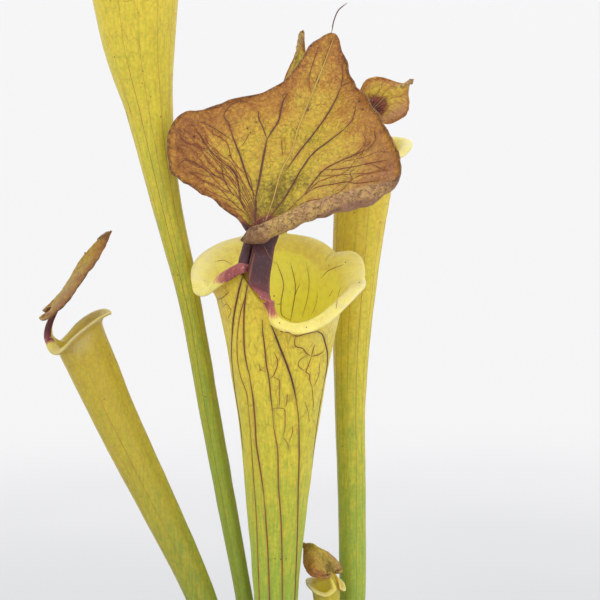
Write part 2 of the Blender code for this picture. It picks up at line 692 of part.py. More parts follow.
def make_pot(collection, cutters, finish):
    """The turned pot, with round drain holes in its floor."""
    base, top, wall = POT_BASE_RADIUS, POT_TOP_RADIUS, POT_WALL
    rim_low = POT_HEIGHT - POT_RIM_DEPTH
    outer_at_rim = base + (top - base) * rim_low / POT_HEIGHT
    profile = (
        (0.0, POT_HEIGHT - 0.8, top + 0.6),
        (1.0, POT_HEIGHT, top + 1.6),
        (2.0, POT_HEIGHT, POT_RIM_RADIUS - 0.8),
        (3.0, POT_HEIGHT - 0.9, POT_RIM_RADIUS),
        (4.0, rim_low, POT_RIM_RADIUS - 1.4),
        (5.0, rim_low, POT_RIM_RADIUS - 1.4 - wall),
        (6.0, POT_HEIGHT - 6.0, POT_RIM_RADIUS - 1.1 - wall),
        (7.0, POT_HEIGHT - 9.5, outer_at_rim + 1.6),
        (8.0, rim_low - 2.0, outer_at_rim),
        (9.0, POT_FOOT_RADIUS, base + 0.8),
        (10.0, 1.2, base - 0.8),
        (11.0, 0.0, base - 2.8),
        (12.0, 0.0, 0.0),
        (13.0, POT_FLOOR, 0.0),
        (14.0, POT_FLOOR, pot_inner_radius(POT_FLOOR) - 2.0),
        (15.0, POT_FLOOR + 2.5, pot_inner_radius(POT_FLOOR + 2.5)),
        (16.0, POT_HEIGHT - 0.8, top - wall + 0.4),
    )
    mesh = bpy.data.meshes.new("pot")
    points = [(radius * MM, 0.0, height * MM) for _, height, radius in profile]
    edges = [(k, k + 1) for k in range(len(points) - 1)] + [(len(points) - 1, 0)]
    mesh.from_pydata(points, edges, [])
    pot = bpy.data.objects.new("pot", mesh)
    collection.objects.link(pot)
    mesh.materials.append(finish)
    screw = pot.modifiers.new("turn", "SCREW")
    screw.steps = POT_TURN_STEPS
    screw.render_steps = POT_TURN_STEPS
    screw.use_merge_vertices = True
    screw.merge_threshold = 0.00001
    screw.use_normal_calculate = True

    cutter_mesh = bpy.data.meshes.new("drain_holes")
    holes = bmesh.new()
    for k in range(DRAIN_HOLES):
        angle = 2.0 * math.pi * k / DRAIN_HOLES
        made = bmesh.ops.create_cone(
            holes, cap_ends=True, segments=14, depth=3.0 * POT_FLOOR * MM,
            radius1=DRAIN_HOLE_RADIUS * MM, radius2=DRAIN_HOLE_RADIUS * MM,
        )
        way = Vector((math.cos(angle), math.sin(angle), 0.0))
        centre = way * DRAIN_CIRCLE_RADIUS + Vector((0.0, 0.0, 0.5 * POT_FLOOR))
        bmesh.ops.translate(holes, verts=made["verts"], vec=centre * MM)
    holes.to_mesh(cutter_mesh)
    holes.free()
    cutter = bpy.data.objects.new("drain_holes", cutter_mesh)
    cutters.objects.link(cutter)
    cut(pot, cutter)
    return pot


def crown_points(grow):
    """The lumpy crown's surface, grown outward by a clearance."""
    shape = bmesh.new()
    bmesh.ops.create_icosphere(shape, subdivisions=3, radius=1.0)
    for vertex in shape.verts:
        way = vertex.co.normalized()
        lump = 1.0 + CROWN_LUMPS * noise.noise(way * 2.6 + Vector((3.1, 0.4, 7.7)))
        size = Vector(CROWN_HALF_SIZE) * lump + Vector((grow, grow, grow))
        vertex.co = (Vector((way.x * size.x, way.y * size.y, way.z * size.z)) + Vector(CROWN_CENTRE)) * MM
    return shape


def make_crown(collection, cutters, finish, bases):
    """The crown with a plain hole for each leaf's base, and the cutter for its seat in the peat."""
    mesh = bpy.data.meshes.new("crown")
    shape = crown_points(0.0)
    shape.to_mesh(mesh)
    shape.free()
    mesh.materials.append(finish)
    crown = bpy.data.objects.new("crown", mesh)
    collection.objects.link(crown)

    holes = bmesh.new()
    for x, y, radius in bases:
        made = bmesh.ops.create_cone(
            holes, cap_ends=True, segments=20, radius1=radius * MM, radius2=radius * MM, depth=40.0 * MM
        )
        low = BASE_HEIGHT - HOLE_GAP
        bmesh.ops.translate(holes, verts=made["verts"], vec=Vector((x, y, low + 20.0)) * MM)
    cutter_mesh = bpy.data.meshes.new("base_holes")
    holes.to_mesh(cutter_mesh)
    holes.free()
    cutter = bpy.data.objects.new("base_holes", cutter_mesh)
    cutters.objects.link(cutter)
    cut(crown, cutter)

    seat_mesh = bpy.data.meshes.new("crown_seat")
    shape = crown_points(HOLE_GAP)
    shape.to_mesh(seat_mesh)
    shape.free()
    seat = bpy.data.objects.new("crown_seat", seat_mesh)
    cutters.objects.link(seat)
    return crown, seat


def make_soil(collection, finish, seat):
    """The peat: a turned plug that fills the pot, with an uneven top and the crown's seat."""
    sheet = Sheet()
    bottom = POT_FLOOR + SOIL_GAP
    edge_radius = pot_inner_radius(SOIL_TOP) - SOIL_GAP - 0.4
    low_radius = pot_inner_radius(bottom) - SOIL_GAP - 2.4
    turn = np.linspace(0.0, 2.0 * math.pi, SOIL_SIDES, endpoint=False)
    circle = np.column_stack([np.cos(turn), np.sin(turn)])

    def ring(radius, height, rough):
        points = []
        for x, y in circle * radius:
            swell = noise.noise(Vector((x, y, 5.0)) * 0.055)
            crumbs = noise.noise(Vector((x, y, 9.0)) * 0.13)
            points.append((x, y, height + rough * (swell + 0.5 * crumbs)))
        return sheet.row(points)

    def join(low, high):
        sheet.strip(low + low[:1], high + high[:1])

    base = ring(low_radius, bottom, 0.0)
    under = sheet.row([(0.0, 0.0, bottom)])[0]
    for a, b in zip(base, base[1:] + base[:1]):
        sheet.faces.append((b, a, under))
    last = base
    knee = ring(pot_inner_radius(bottom + 2.6) - SOIL_GAP - 0.3, bottom + 2.6, 0.0)
    join(last, knee)
    last = ring(edge_radius, SOIL_TOP - 2.0, 0.0)
    join(knee, last)
    for k in range(SOIL_RINGS):
        share = k / SOIL_RINGS
        level = ring(edge_radius * (1.0 - share), SOIL_TOP + 3.0 * ramp(share * 1.6), SOIL_ROUGHNESS)
        join(last, level)
        last = level
    peak = sheet.row([(0.0, 0.0, SOIL_TOP + 3.0)])[0]
    for a, b in zip(last, last[1:] + last[:1]):
        sheet.faces.append((a, b, peak))
    points = np.array(sheet.points) * MM
    soil = mesh_object("soil", points, sheet.faces, collection, finish)
    cut(soil, seat)
    return soil


def make_pitcher(name, leaf, collection, finish):
    """One leaf: its outer face as an open sheet, given its thickness inward."""
    sheet = Sheet()
    throat = add_tube(sheet, leaf)
    rows = add_neck_and_hood(sheet, leaf, throat)
    add_margin(sheet, leaf, margin_loop(leaf, throat, rows))
    pitcher = mesh_object(name, np.array(sheet.points) * MM, sheet.faces, collection, finish)
    wall = pitcher.modifiers.new("wall", "SOLIDIFY")
    wall.thickness = WALL * MM
    wall.offset = -1.0
    pitcher.data.shade_smooth()
    return pitcher


def main():
    clear_scene()
    plant = new_collection("yellow_pitcher_plant")
    cutters = new_collection("cutters")
    pot_finish = material("pot_plastic", POT_COLOUR, 0.45)
    soil_finish = material("peat", SOIL_COLOUR, 0.95)
    crown_finish = material("crown_bark", CROWN_COLOUR, 0.8)
    leaf_finish = material("pitcher_leaf", LEAF_COLOUR, 0.42)

    make_pot(plant, cutters, pot_finish)
    bases = []
    for name, leaf in LEAVES.items():
        make_pitcher(name, leaf, plant, leaf_finish)
        _, x, y, radius = leaf["spine"][1]
        bases.append((x, y, radius + HOLE_GAP))
    _, seat = make_crown(plant, cutters, crown_finish, bases)
    make_soil(plant, soil_finish, seat)


main()
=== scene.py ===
"""The looks of a yellow pitcher plant in a nursery pot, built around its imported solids.

Each pitcher leaf is modelled again as a fine sheet on the same curves as its solid, with relief,
raised veins and rolled margins. Tables and leaf shapes are in millimetres, and meshes in metres.
"""

import math

import bmesh
import bpy
import numpy as np
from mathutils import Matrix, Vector, kdtree, noise
from mathutils.bvhtree import BVHTree


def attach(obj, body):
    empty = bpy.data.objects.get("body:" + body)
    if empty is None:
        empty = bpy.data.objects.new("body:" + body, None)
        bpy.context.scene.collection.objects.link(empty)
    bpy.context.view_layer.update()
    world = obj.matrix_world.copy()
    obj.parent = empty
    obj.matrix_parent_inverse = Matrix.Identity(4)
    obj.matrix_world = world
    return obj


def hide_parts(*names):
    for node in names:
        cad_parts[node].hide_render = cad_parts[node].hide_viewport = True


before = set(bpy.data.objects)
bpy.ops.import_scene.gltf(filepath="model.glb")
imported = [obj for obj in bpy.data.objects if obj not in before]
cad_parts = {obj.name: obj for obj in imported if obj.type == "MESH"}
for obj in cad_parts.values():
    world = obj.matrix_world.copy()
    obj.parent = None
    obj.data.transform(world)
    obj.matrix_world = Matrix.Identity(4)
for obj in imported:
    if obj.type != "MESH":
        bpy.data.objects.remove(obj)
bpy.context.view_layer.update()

MM = 0.001

# The front view: the camera's place in metres, its tilt, lens and sensor, the width of the view in
# pixels, and the height in mm below which the front leaf is out of the view.
CAMERA_PLACE = (0.0, -0.89707, 0.51305)
CAMERA_TILT = 80.0
CAMERA_LENS = 125.58
CAMERA_SENSOR = 36.0
VIEW_SIZE = 600.0
VIEW_FOOT = 228.0

# Pot, peat and crown, as in the solids.
POT_HEIGHT = 124.0
POT_BASE_RADIUS = 48.0
POT_TOP_RADIUS = 63.0
POT_WALL = 1.6
POT_FLOOR = 3.0
POT_RIM_RADIUS = 69.0
POT_RIM_DEPTH = 17.0
POT_STEPS = 144
DRAIN_HOLES = 8
DRAIN_HOLE_RADIUS = 4.5
DRAIN_CIRCLE_RADIUS = 35.0
SOIL_TOP = 111.0
SOIL_GAP = 0.4
SOIL_RINGS = 84
SOIL_SIDES = 216
CROWN_CENTRE = (-0.5, 1.5, 107.0)
CROWN_HALF_SIZE = (31.0, 19.5, 12.5)
CROWN_LUMPS = 0.108

# What is strewn over the peat: name, number, size, flatness and seed.
PEAT_CRUMBS = ("peat_crumbs", 2600, 0.85, 0.8, 21)
BARK_CHIPS = ("bark_chips", 260, 1.7, 0.35, 22)
PERLITE = ("perlite", 130, 1.15, 0.85, 23)
LUMP_ROUGHNESS = 0.22
MOSS_TUFTS = 1500
MOSS_CUSHIONS = 14
MOSS_SPREAD = 6.0
MOSS_LEAVES = 11
MOSS_SEED = 24

# Dry sheaths round the foot of each leaf.
SHEATH_FOOT = 112.0
SHEATH_WALL = 0.35
SHEATH_COLUMNS = 9
SHEATH_ROWS = 12
SHEATH_ANGLES = (0.0, 84.0, 165.0, 255.0)
SHEATH_SEED = 41

# One pitcher's sheet, as in the solids. The slope of its spine is read over a short step.
WALL = 0.9
BASE_HEIGHT = 105.0
STRAP_ANGLE = 9.0
PROW_RISE = 0.16
PROW_SPREAD = 24.0
RIM_BLEND = 55.0
NECK_LIFT = 20.0
HOOD_HALF_WIDTH = 48.0
SEAT_TOP = 122.0
SPINE_STEP = 1.0

# Relief of a full-sized leaf: the spacing of its buckles, crumples and puckers, each with its height
# on the hood and on the tube, then the waves of the hood's margin and the valleys along the veins.
RELIEF = ((11.0, 0.5, 0.22), (4.5, 0.62, 0.05), (2.1, 0.28, 0.0))
WAVE_SPACING = 5.5
WAVE_HEIGHT = 0.7
VALLEY_DEPTH = 0.85
VALLEY_REACH = 2.6

# Raised veins: sides of a cord, its height, sinking and width at its ends as shares of its width, the
# step along it in the view's pixels, and the jump in mm at which it ends.
CORD_SIDES = 6
CORD_HEIGHT = 0.75
CORD_SINK = 0.12
CORD_TIP = 0.35
VEIN_STEP = 1.4
VEIN_JUMP = 4.0
THREAD_WIDTH = 0.55
THREAD_SHADE = 0.8

# Light: name, place and strength of each soft sun, their spread in degrees and the strength of the
# sky. Floor: its radius, and how far it lies under the pot, in metres.
SUNS = (
    ("key", (-0.6, -1.3, 1.3), 0.72), ("fill", (1.3, -0.9, 0.9), 0.6), ("back", (0.3, 1.4, 1.2), 0.5),
)
SUN_SPREAD = 60.0
SKY_STRENGTH = 0.84
FLOOR_RADIUS = 20.0
FLOOR_DROP = 0.0005

# Rim of the mouth: angle from the back, clockwise from above being left, with the height of the
# throat's edge over the mouth's centre, the width of the lip and the angle that it turns through.
FRONT_RIM = (
    (9, -1, 12, 135), (15, -7, 11.5, 150), (26, -11.5, 11, 155), (51, -12.5, 11, 150),
    (64, -10.5, 11.5, 135), (80, -7, 12, 110), (95, -4, 12.5, 98), (112, -3, 12, 95), (130, -1.5, 12, 92),
    (150, 4.5, 14, 82), (169, 4, 13, 88), (184, 9, 13, 85), (205, 11, 13, 85), (237, 9, 13.5, 82),
    (267, 3, 14.5, 80), (290, -3, 14.5, 82), (308, -3, 13, 105), (322, 1.5, 10, 180),
    (336, 7.5, 8.5, 215), (351, 12.5, 8, 225),
)
PLAIN_RIM_HALF = (
    (9, 4, 9, 200), (20, -2, 10, 180), (40, -8, 11, 165), (65, -7, 12, 140), (95, -2, 14, 105),
    (130, 3, 14, 95), (160, 3, 15, 100), (180, 1, 17, 110),
)
PLAIN_RIM = PLAIN_RIM_HALF + tuple(
    (360 - angle, *rest) for angle, *rest in reversed(PLAIN_RIM_HALF[:-1])
)

# Neck: points up its middle (right, front, up from the mouth's centre) and its half width.
FRONT_NECK = (
    (0.2, -26.4, 7.5, 4.3), (0.3, -23.2, 14.3, 4.4), (0.1, -18.7, 20.8, 4.6), (0, -14, 28, 5),
)
PLAIN_NECK = (
    (0, -26.6, 9, 4.3), (0, -24.2, 16, 4.3), (0, -19.5, 23, 4.5), (0, -13.5, 29.5, 4.8),
)

# Hood: its outline from the left lobe over the point to the right lobe. Each row gives the place
# across the leaf (-1 to 1), right, front, up, and the width and turn of the rolled margin.
FRONT_HOOD = (
    (-1, -45, -12.2, 50.5, 3.5, 75), (-0.9, -47.6, -10.2, 59.6, 3.5, 70), (-0.78, -47.9, -7, 68.6, 3, 65),
    (-0.67, -45.2, -2.3, 73.8, 3, 60), (-0.56, -38, 5.4, 75.2, 3, 55), (-0.44, -28.4, 14.3, 78.9, 3, 55),
    (-0.33, -18.3, 23.5, 82.5, 2.8, 50), (-0.24, -11.3, 31.1, 87.4, 2.5, 50),
    (-0.16, -8.5, 39, 95.2, 2.2, 45), (-0.08, -6.6, 46.3, 101.6, 1.8, 40),
    (0, -0.9, 58.1, 107.2, 1.4, 30), (0.07, 4.2, 54.6, 99.6, 1.8, 40), (0.16, 12.9, 45.7, 87.5, 2.5, 50),
    (0.25, 23.6, 36.4, 80.6, 2.8, 55), (0.34, 36.6, 25.9, 70.3, 3, 60), (0.43, 45.1, 17.7, 62.8, 3.5, 65),
    (0.5, 51.3, 10.7, 56.1, 4, 80), (0.57, 53.6, 4, 48.9, 4.5, 100), (0.64, 50.6, -1.8, 45.2, 5.5, 130),
    (0.71, 42.8, -7.6, 42.6, 6.5, 150), (0.78, 33.5, -14.2, 39.1, 7.5, 165),
    (0.86, 22.3, -20.5, 33.4, 8.5, 170), (0.93, 12.5, -26.1, 28.5, 8, 150), (1, 1, -30.6, 24.4, 5, 80),
)
PLAIN_HOOD_HALF = (
    (0, 0, 58.5, 107, 1.6, 30), (0.07, 4.6, 53.5, 99.5, 2, 45), (0.2, 15, 46, 89, 2.8, 60),
    (0.36, 29, 34, 80, 3.2, 75), (0.52, 42, 18, 68, 3.6, 85), (0.68, 48, 1, 54, 4, 95),
    (0.82, 42, -15, 42, 4.5, 110), (0.92, 29, -24, 34, 5, 125), (1, 15, -26, 28.5, 5, 130),
)

# The margin up each side, from the throat (0) over the top of the neck (0.33) to the hood's corner
# (1): the width of the roll, the angle that it turns through and the part of its width that bends.
FRONT_LEFT_SIDE = (
    (0, 8, 225, 1), (0.2, 7.5, 220, 1), (0.36, 4, 150, 1), (0.5, 3.5, 90, 1), (1, 3.5, 75, 1),
)
FRONT_RIGHT_SIDE = (
    (0, 12, 140, 0.6), (0.1, 12, 150, 0.35), (0.2, 11.5, 150, 0.35), (0.27, 8.5, 140, 0.4),
    (0.33, 1.5, 60, 1), (0.8, 1, 30, 1), (1, 2, 40, 1),
)
PLAIN_SIDE = (
    (0, 9, 200, 1), (0.11, 6, 175, 1), (0.22, 4, 140, 1), (0.33, 1.6, 80, 1), (0.6, 1.6, 60, 1),
    (1, 4, 100, 1),
)

# How far a line from the neck to the outline bows out at its middle: place across, right, front, up.
FRONT_BOW = (
    (-1, 1.5, 0, 1.5), (-0.7, 1, 1, 1), (-0.35, 0, 2, 1), (0, 0, 0, 0), (0.3, 0, 2, 1), (0.6, 1, 1, -2),
    (0.8, 3, -1, 0), (0.92, 3, 0, 1), (1, 4, -1, 0),
)
PLAIN_BOW_HALF = (
    (0, 0, 0, 2), (0.4, 2, 3, 4), (0.75, 5, 0, 3), (1, 8, -1, 2),
)

# Spines run from the base to above the mouth: height, x, y and half width.
FRONT_SPINE = (
    (105, -11.6, -7, 4.8), (119, -11.6, -7, 4.8), (129, -11.6, -7, 5.1), (151, -11.4, -7.1, 6.1),
    (191, -11, -7.4, 8), (226, -10.7, -7.8, 9.9), (249.7, -10.4, -8.2, 11.9), (268.5, -10, -8.6, 13.7),
    (287.2, -9.6, -9, 15.5), (306, -9.1, -9.4, 17.9), (324.8, -9, -9.7, 20.9), (338.7, -8.8, -10, 23.4),
    (351, -8.6, -10, 26), (361, -8.6, -10, 28.2), (375, -8.6, -10, 31),
)
TALL_LEFT_SPINE = (
    (105, -13, 10, 3.7), (119, -13, 10, 3.7), (129, -13, 10, 3.7), (169, -19.3, 10, 3.7),
    (216, -25.2, 10.3, 3.8), (262, -33.2, 11.3, 4.2), (307, -41.2, 13.5, 4.6), (352, -49, 16.3, 4.9),
    (396, -59.2, 19.4, 6.6), (418, -63.4, 20.8, 8.2), (440, -66.8, 22, 11), (462, -70.2, 23, 15.4),
    (483, -71.6, 23.8, 18.6), (503, -72.3, 24, 21.6), (516, -72.6, 24, 24),
)
RIGHT_SPINE = (
    (105, 18.5, 5, 3.8), (119, 18.5, 5, 3.8), (129, 18.5, 5, 3.9), (168, 21.6, 11, 4.8),
    (213, 23.8, 18, 5.9), (258, 23.6, 26, 6.3), (303, 22.8, 33.5, 7.1), (348, 24.3, 40.5, 9.7),
    (386, 27.3, 45, 12.1), (404, 29.2, 47, 13.4), (415, 30.6, 48, 14.4), (426, 31.8, 49, 15.6),
)
REAR_SPINE = (
    (105, -4, 4, 3.6), (119, -4, 4, 3.6), (129, -4, 4, 3.7), (160, -6, 8, 3.9), (214, -10, 16, 4.6),
    (281, -12.7, 28.5, 5.8), (334, -13.8, 40, 6.6), (376, -13.6, 48.5, 7.2), (390, -11.5, 51, 9.4),
    (400, -10, 52.5, 11.8), (410, -9.2, 54, 13.4), (420, -8.7, 55, 14.8),
)
LOW_LEFT_SPINE = (
    (105, -21, 1, 3.6), (119, -21, 1, 3.6), (129, -21, 1, 3.7), (171, -30, 1.5, 4.8),
    (219, -44.4, 1, 6.1), (265, -64.5, 0, 7.8), (288, -75.2, -0.5, 8.6), (311, -85.4, -1, 9.3),
    (330, -93, -1.5, 10.4), (340, -96.6, -2, 11.3), (350, -99.8, -2.3, 12.4),
)
SMALL_SPINE = (
    (105, 10, -4, 3.6), (119, 10, -4, 3.6), (129, 10, -4, 3.6), (172, 12.3, 0.3, 3.9),
    (199, 12.6, 1.8, 4.5), (213, 12.2, 2, 5.4), (224, 11.6, 2.1, 6.4), (231, 11.3, 2.2, 7.2),
)

# Veins that the front view shows. Each row gives a width in mm, a shade from pale (0) over red-brown
# (0.5) to dark purple-brown (1), and then the points of the vein in the view's pixels, across and down.
HOOD_VEINS = (
    (0.62, 0.05, 265, 222, 273, 200, 281, 172, 292, 150, 298, 129, 312, 94, 325.6, 60, 333, 40),
    (1.05, 0.9, 255.4, 222, 255.6, 209, 255.8, 197.8),
    (0.8, 0.85, 255.8, 197.8, 249.6, 184.6, 245.4, 172, 240.4, 156.4, 234.6, 141.5, 230.5, 130),
    (0.5, 0.75, 230.5, 130, 228.8, 123, 223.8, 118),
    (0.42, 0.7, 228.8, 123, 224, 116, 230, 106, 242, 101, 250, 104),
    (0.95, 0.85, 255.8, 197.8, 257, 191, 260.3, 174.6, 263.6, 156.4, 267, 139),
    (0.62, 0.75, 267, 139, 262.8, 127.4, 258.7, 117.4, 258.3, 110.8),
    (0.72, 0.8, 267, 139, 272.8, 130, 278.6, 120.7, 281, 110, 283.5, 100, 288, 93),
    (0.75, 0.85, 244.6, 210, 240.4, 199.5, 238.8, 187, 235.5, 174.6, 230.5, 168, 222.2, 162.2),
    (0.66, 0.8, 222.2, 162.2, 209.8, 149.8, 201.5, 137.3, 196.5, 130.7),
    (0.5, 0.75, 221.4, 163, 223.8, 178.8, 230.5, 191, 233.8, 195.4),
    (0.55, 0.75, 223.8, 178.8, 209.8, 173, 201.5, 167.2, 193.2, 162.2, 183.2, 160.5, 178.2, 166.3),
    (0.52, 0.75, 209.8, 149.8, 197.3, 146.4, 184.9, 141.5, 180.7, 137.3, 179.9, 133.2),
    (0.5, 0.75, 230.5, 139, 218, 130.7, 205.6, 124, 200.6, 121.6),
    (0.36, 0.6, 282.5, 156, 281.7, 139),
    (0.72, 0.8, 287.7, 168, 299.7, 151, 311.8, 136, 325.6, 117, 335, 101, 341, 87.5),
    (0.5, 0.7, 341, 87.5, 342.8, 74, 342, 65),
    (0.46, 0.7, 340, 88, 345, 84, 350, 82),
    (0.8, 0.85, 268.8, 218, 281, 203, 293, 184, 301, 170, 313.5, 153, 329, 141, 344.5, 129),
    (0.55, 0.75, 344.5, 129, 353, 118.5, 355.7, 106.5),
    (0.66, 0.75, 303, 196, 313.5, 182, 323.8, 170, 339, 161.5, 356.5, 154, 368.6, 148.6),
    (0.5, 0.7, 368.6, 148.6, 375.5, 139, 374, 131),
    (0.5, 0.65, 323.8, 170, 339, 169, 353, 166.7, 370, 163, 387.5, 160),
    (0.5, 0.65, 303, 196, 315, 188, 334, 184, 348, 182, 353, 183, 367, 182, 379, 180.5),
    (0.4, 0.6, 348, 182, 352, 178, 350, 173, 354, 170),
    (0.42, 0.65, 311, 92, 309, 80, 313, 63, 319, 46),
    (0.36, 0.6, 233.8, 195.4, 222, 190, 208, 183, 198, 180),
    (0.36, 0.6, 239, 204, 226, 199, 213, 193, 203, 188),
    (0.36, 0.6, 244, 212, 233, 208, 222, 203),
    (0.36, 0.6, 216, 176, 206, 176, 196, 173, 187, 173),
    (0.36, 0.6, 352, 156, 362, 148, 366, 141, 362, 133),
    (0.36, 0.6, 370, 163, 380, 168, 388, 171),
    (0.34, 0.55, 339, 161.5, 352, 160, 364, 157, 378, 152, 388, 152),
    (0.34, 0.55, 318, 176, 336, 175, 352, 174, 372, 172, 386, 166),
    (0.32, 0.55, 250, 132, 246, 140, 242, 146),
)
TUBE_VEINS = (
    (0.6, 0.85, 232.7, 318, 232.2, 330, 231.5, 353, 233.4, 376, 235.7, 395, 239.5, 418, 243, 450),
    (0.5, 0.45, 254, 254, 248, 286, 239.5, 318, 237, 347, 241, 378, 245.6, 390, 249, 413),
    (0.5, 0.45, 249, 413, 251.7, 450, 254, 485, 256, 511, 257.7, 554, 259.4, 600),
    (0.32, 0.35, 247, 391, 249.5, 422, 251.4, 445),
    (0.95, 0.75, 246, 268, 241, 282, 237, 299, 234, 315, 231.5, 344),
    (0.85, 0.62, 254.7, 253, 247, 286, 244.7, 303, 243.8, 330, 245.3, 357, 249.5, 376),
    (0.8, 0.58, 249.5, 376, 252.5, 395, 254.8, 418, 256.4, 445, 260, 468, 263.7, 494),
    (0.6, 0.5, 263.7, 494, 267, 537, 269.7, 600),
    (0.62, 0.62, 262.5, 320, 262.5, 330, 264.4, 345, 266.3, 364, 269, 379, 271, 399, 272.8, 414),
    (0.55, 0.5, 272.8, 414, 274, 429.5, 277, 445, 278.4, 485, 281, 519, 282, 554, 282.3, 600),
    (0.9, 0.85, 271.4, 325.6, 273.2, 330, 280, 347.6, 286.2, 363, 291.6, 379, 296.2, 399),
    (0.66, 0.64, 296.2, 399, 298.5, 418, 299.2, 445, 298.2, 494, 297.3, 537, 294.7, 600),
    (0.82, 0.85, 316.8, 331.5, 320.7, 333, 325.2, 343, 327.5, 354, 327.2, 364, 323.7, 384),
    (0.6, 0.65, 323.7, 384, 320.3, 403, 316.8, 426, 314.5, 445, 311, 480, 306, 530, 303, 590),
    (0.5, 0.6, 280, 331.5, 289.4, 332.8, 296.2, 336, 306, 333.8, 316.8, 331.5),
    (0.46, 0.6, 296.2, 336, 294.6, 340.7, 295.4, 346, 303, 348.7, 306.9, 353.7, 311.5, 356.4),
    (0.46, 0.6, 311.5, 356.4, 319, 354.5, 323.7, 351),
    (0.44, 0.6, 311.5, 356.4, 313.8, 347.6, 315.3, 344.5),
    (0.44, 0.6, 311.5, 356.4, 307.6, 367.5, 306, 371.7, 309.2, 374.4, 309.9, 380.5, 312.2, 387.4),
    (0.38, 0.5, 312.2, 387.4, 313, 399, 313.8, 408),
    (0.36, 0.5, 306, 356, 300, 360, 298, 364.4, 304.6, 371.3),
    (0.34, 0.45, 319.9, 363, 318.4, 376, 313.8, 386.6),
    (0.34, 0.45, 304.6, 402, 307.6, 410, 309.2, 422),
    (0.4, 0.5, 274, 352, 277.8, 362, 275.5, 371, 272.4, 376.7, 269, 379),
    (0.36, 0.45, 272.4, 376.7, 278.6, 379.7, 279.7, 389, 279.3, 407),
    (0.36, 0.45, 272.4, 409, 278.6, 408, 283.9, 409, 285, 418, 284.7, 429.5, 282.8, 437),
    (0.32, 0.45, 282.8, 437, 287.7, 444, 288.5, 450),
    (0.32, 0.45, 287.7, 393.5, 286.2, 406.5),
    (0.32, 0.45, 292.7, 425.6, 292.3, 433, 289.3, 441),
    (0.32, 0.4, 258.7, 363.7, 261, 369.8, 267, 372),
    (0.36, 0.6, 212, 296, 219, 299, 229, 292),
    (0.3, 0.45, 222, 308, 226, 304, 231, 311, 228, 318),
)
MOUTH_VEINS = (
    (0.38, 0.42, 276.5, 262, 283.5, 284, 281, 304, 282, 315, 289.4, 320),
    (0.36, 0.42, 290.5, 262.5, 295.4, 287, 293, 307, 290.3, 321),
    (0.28, 0.4, 272, 302, 276, 304, 281, 304),
    (0.26, 0.38, 300, 284, 297, 290, 295, 296),
    (0.3, 0.45, 341, 287, 338.8, 293, 336, 309),
    (0.26, 0.42, 333, 290, 329, 297),
    (0.3, 0.6, 320.7, 278.6, 327, 271.6, 334, 268, 343.8, 264.5),
    (0.3, 0.5, 214.7, 261.7, 223, 260.3, 235.8, 267.3),
    (0.24, 0.34, 306, 262, 309, 280, 307, 300, 302, 317),
    (0.22, 0.32, 264, 246, 268, 254, 276, 264),
    (0.22, 0.32, 318, 292, 316, 304, 311, 316),
)
HOOD_THREAD = ((335, 33), (335.5, 20), (339, 10), (347, 3))

# Dark spots of the front leaf: width in mm and place in the front view.
SPOTS = (
    (1.3, 193.6, 136), (1, 229, 155), (0.9, 250, 132), (0.9, 256, 122), (0.7, 212, 131), (1.5, 359, 101),
    (1.2, 362, 109), (0.7, 247, 128), (0.6, 222, 140), (0.6, 300, 96), (0.7, 279, 322.5), (0.6, 306, 327),
    (0.7, 359, 282), (0.6, 345, 262), (0.5, 262, 335),
)


def srgb(red, green, blue):
    """A linear colour from 8-bit screen values."""
    values = np.array([red, green, blue]) / 255.0
    linear = np.where(values <= 0.04045, values / 12.92, ((values + 0.055) / 1.055) ** 2.4)
    return (*linear.tolist(), 1.0)


def screen_stops(*rows):
    """The stops of a colour ramp, from rows of place, red, green and blue."""
    return tuple((place, srgb(*colour)) for place, *colour in rows)


def both_sides(half, mirrored):
    """A table for both halves of a leaf from the rows of its right half."""
    left = []
    for row in reversed(half[1:]):
        flipped = list(row)
        for column in mirrored:
            flipped[column] = -flipped[column]
        left.append(tuple(flipped))
    return tuple(left) + tuple(half)


FRONT_FORM = {
    "rim": FRONT_RIM, "neck": FRONT_NECK, "hood": FRONT_HOOD, "bow": FRONT_BOW,
    "sides": (FRONT_LEFT_SIDE, FRONT_RIGHT_SIDE),
}
PLAIN_FORM = {
    "rim": PLAIN_RIM, "neck": PLAIN_NECK, "hood": both_sides(PLAIN_HOOD_HALF, (0, 1)),
    "bow": both_sides(PLAIN_BOW_HALF, (0, 1)), "sides": (PLAIN_SIDE, PLAIN_SIDE),
}

# Numbers of columns across the strap, columns round the rest of the tube, rows of each part, and
# times that the hood's columns double on the way out.
FINE = {"strap": 17, "round": 168, "tube": 112, "neck": 30, "hood": 80, "doubles": 4, "lip": 9}
MEDIUM = {"strap": 9, "round": 110, "tube": 110, "neck": 18, "hood": 44, "doubles": 4, "lip": 8}
LIGHT = {"strap": 7, "round": 80, "tube": 90, "neck": 14, "hood": 30, "doubles": 4, "lip": 7}

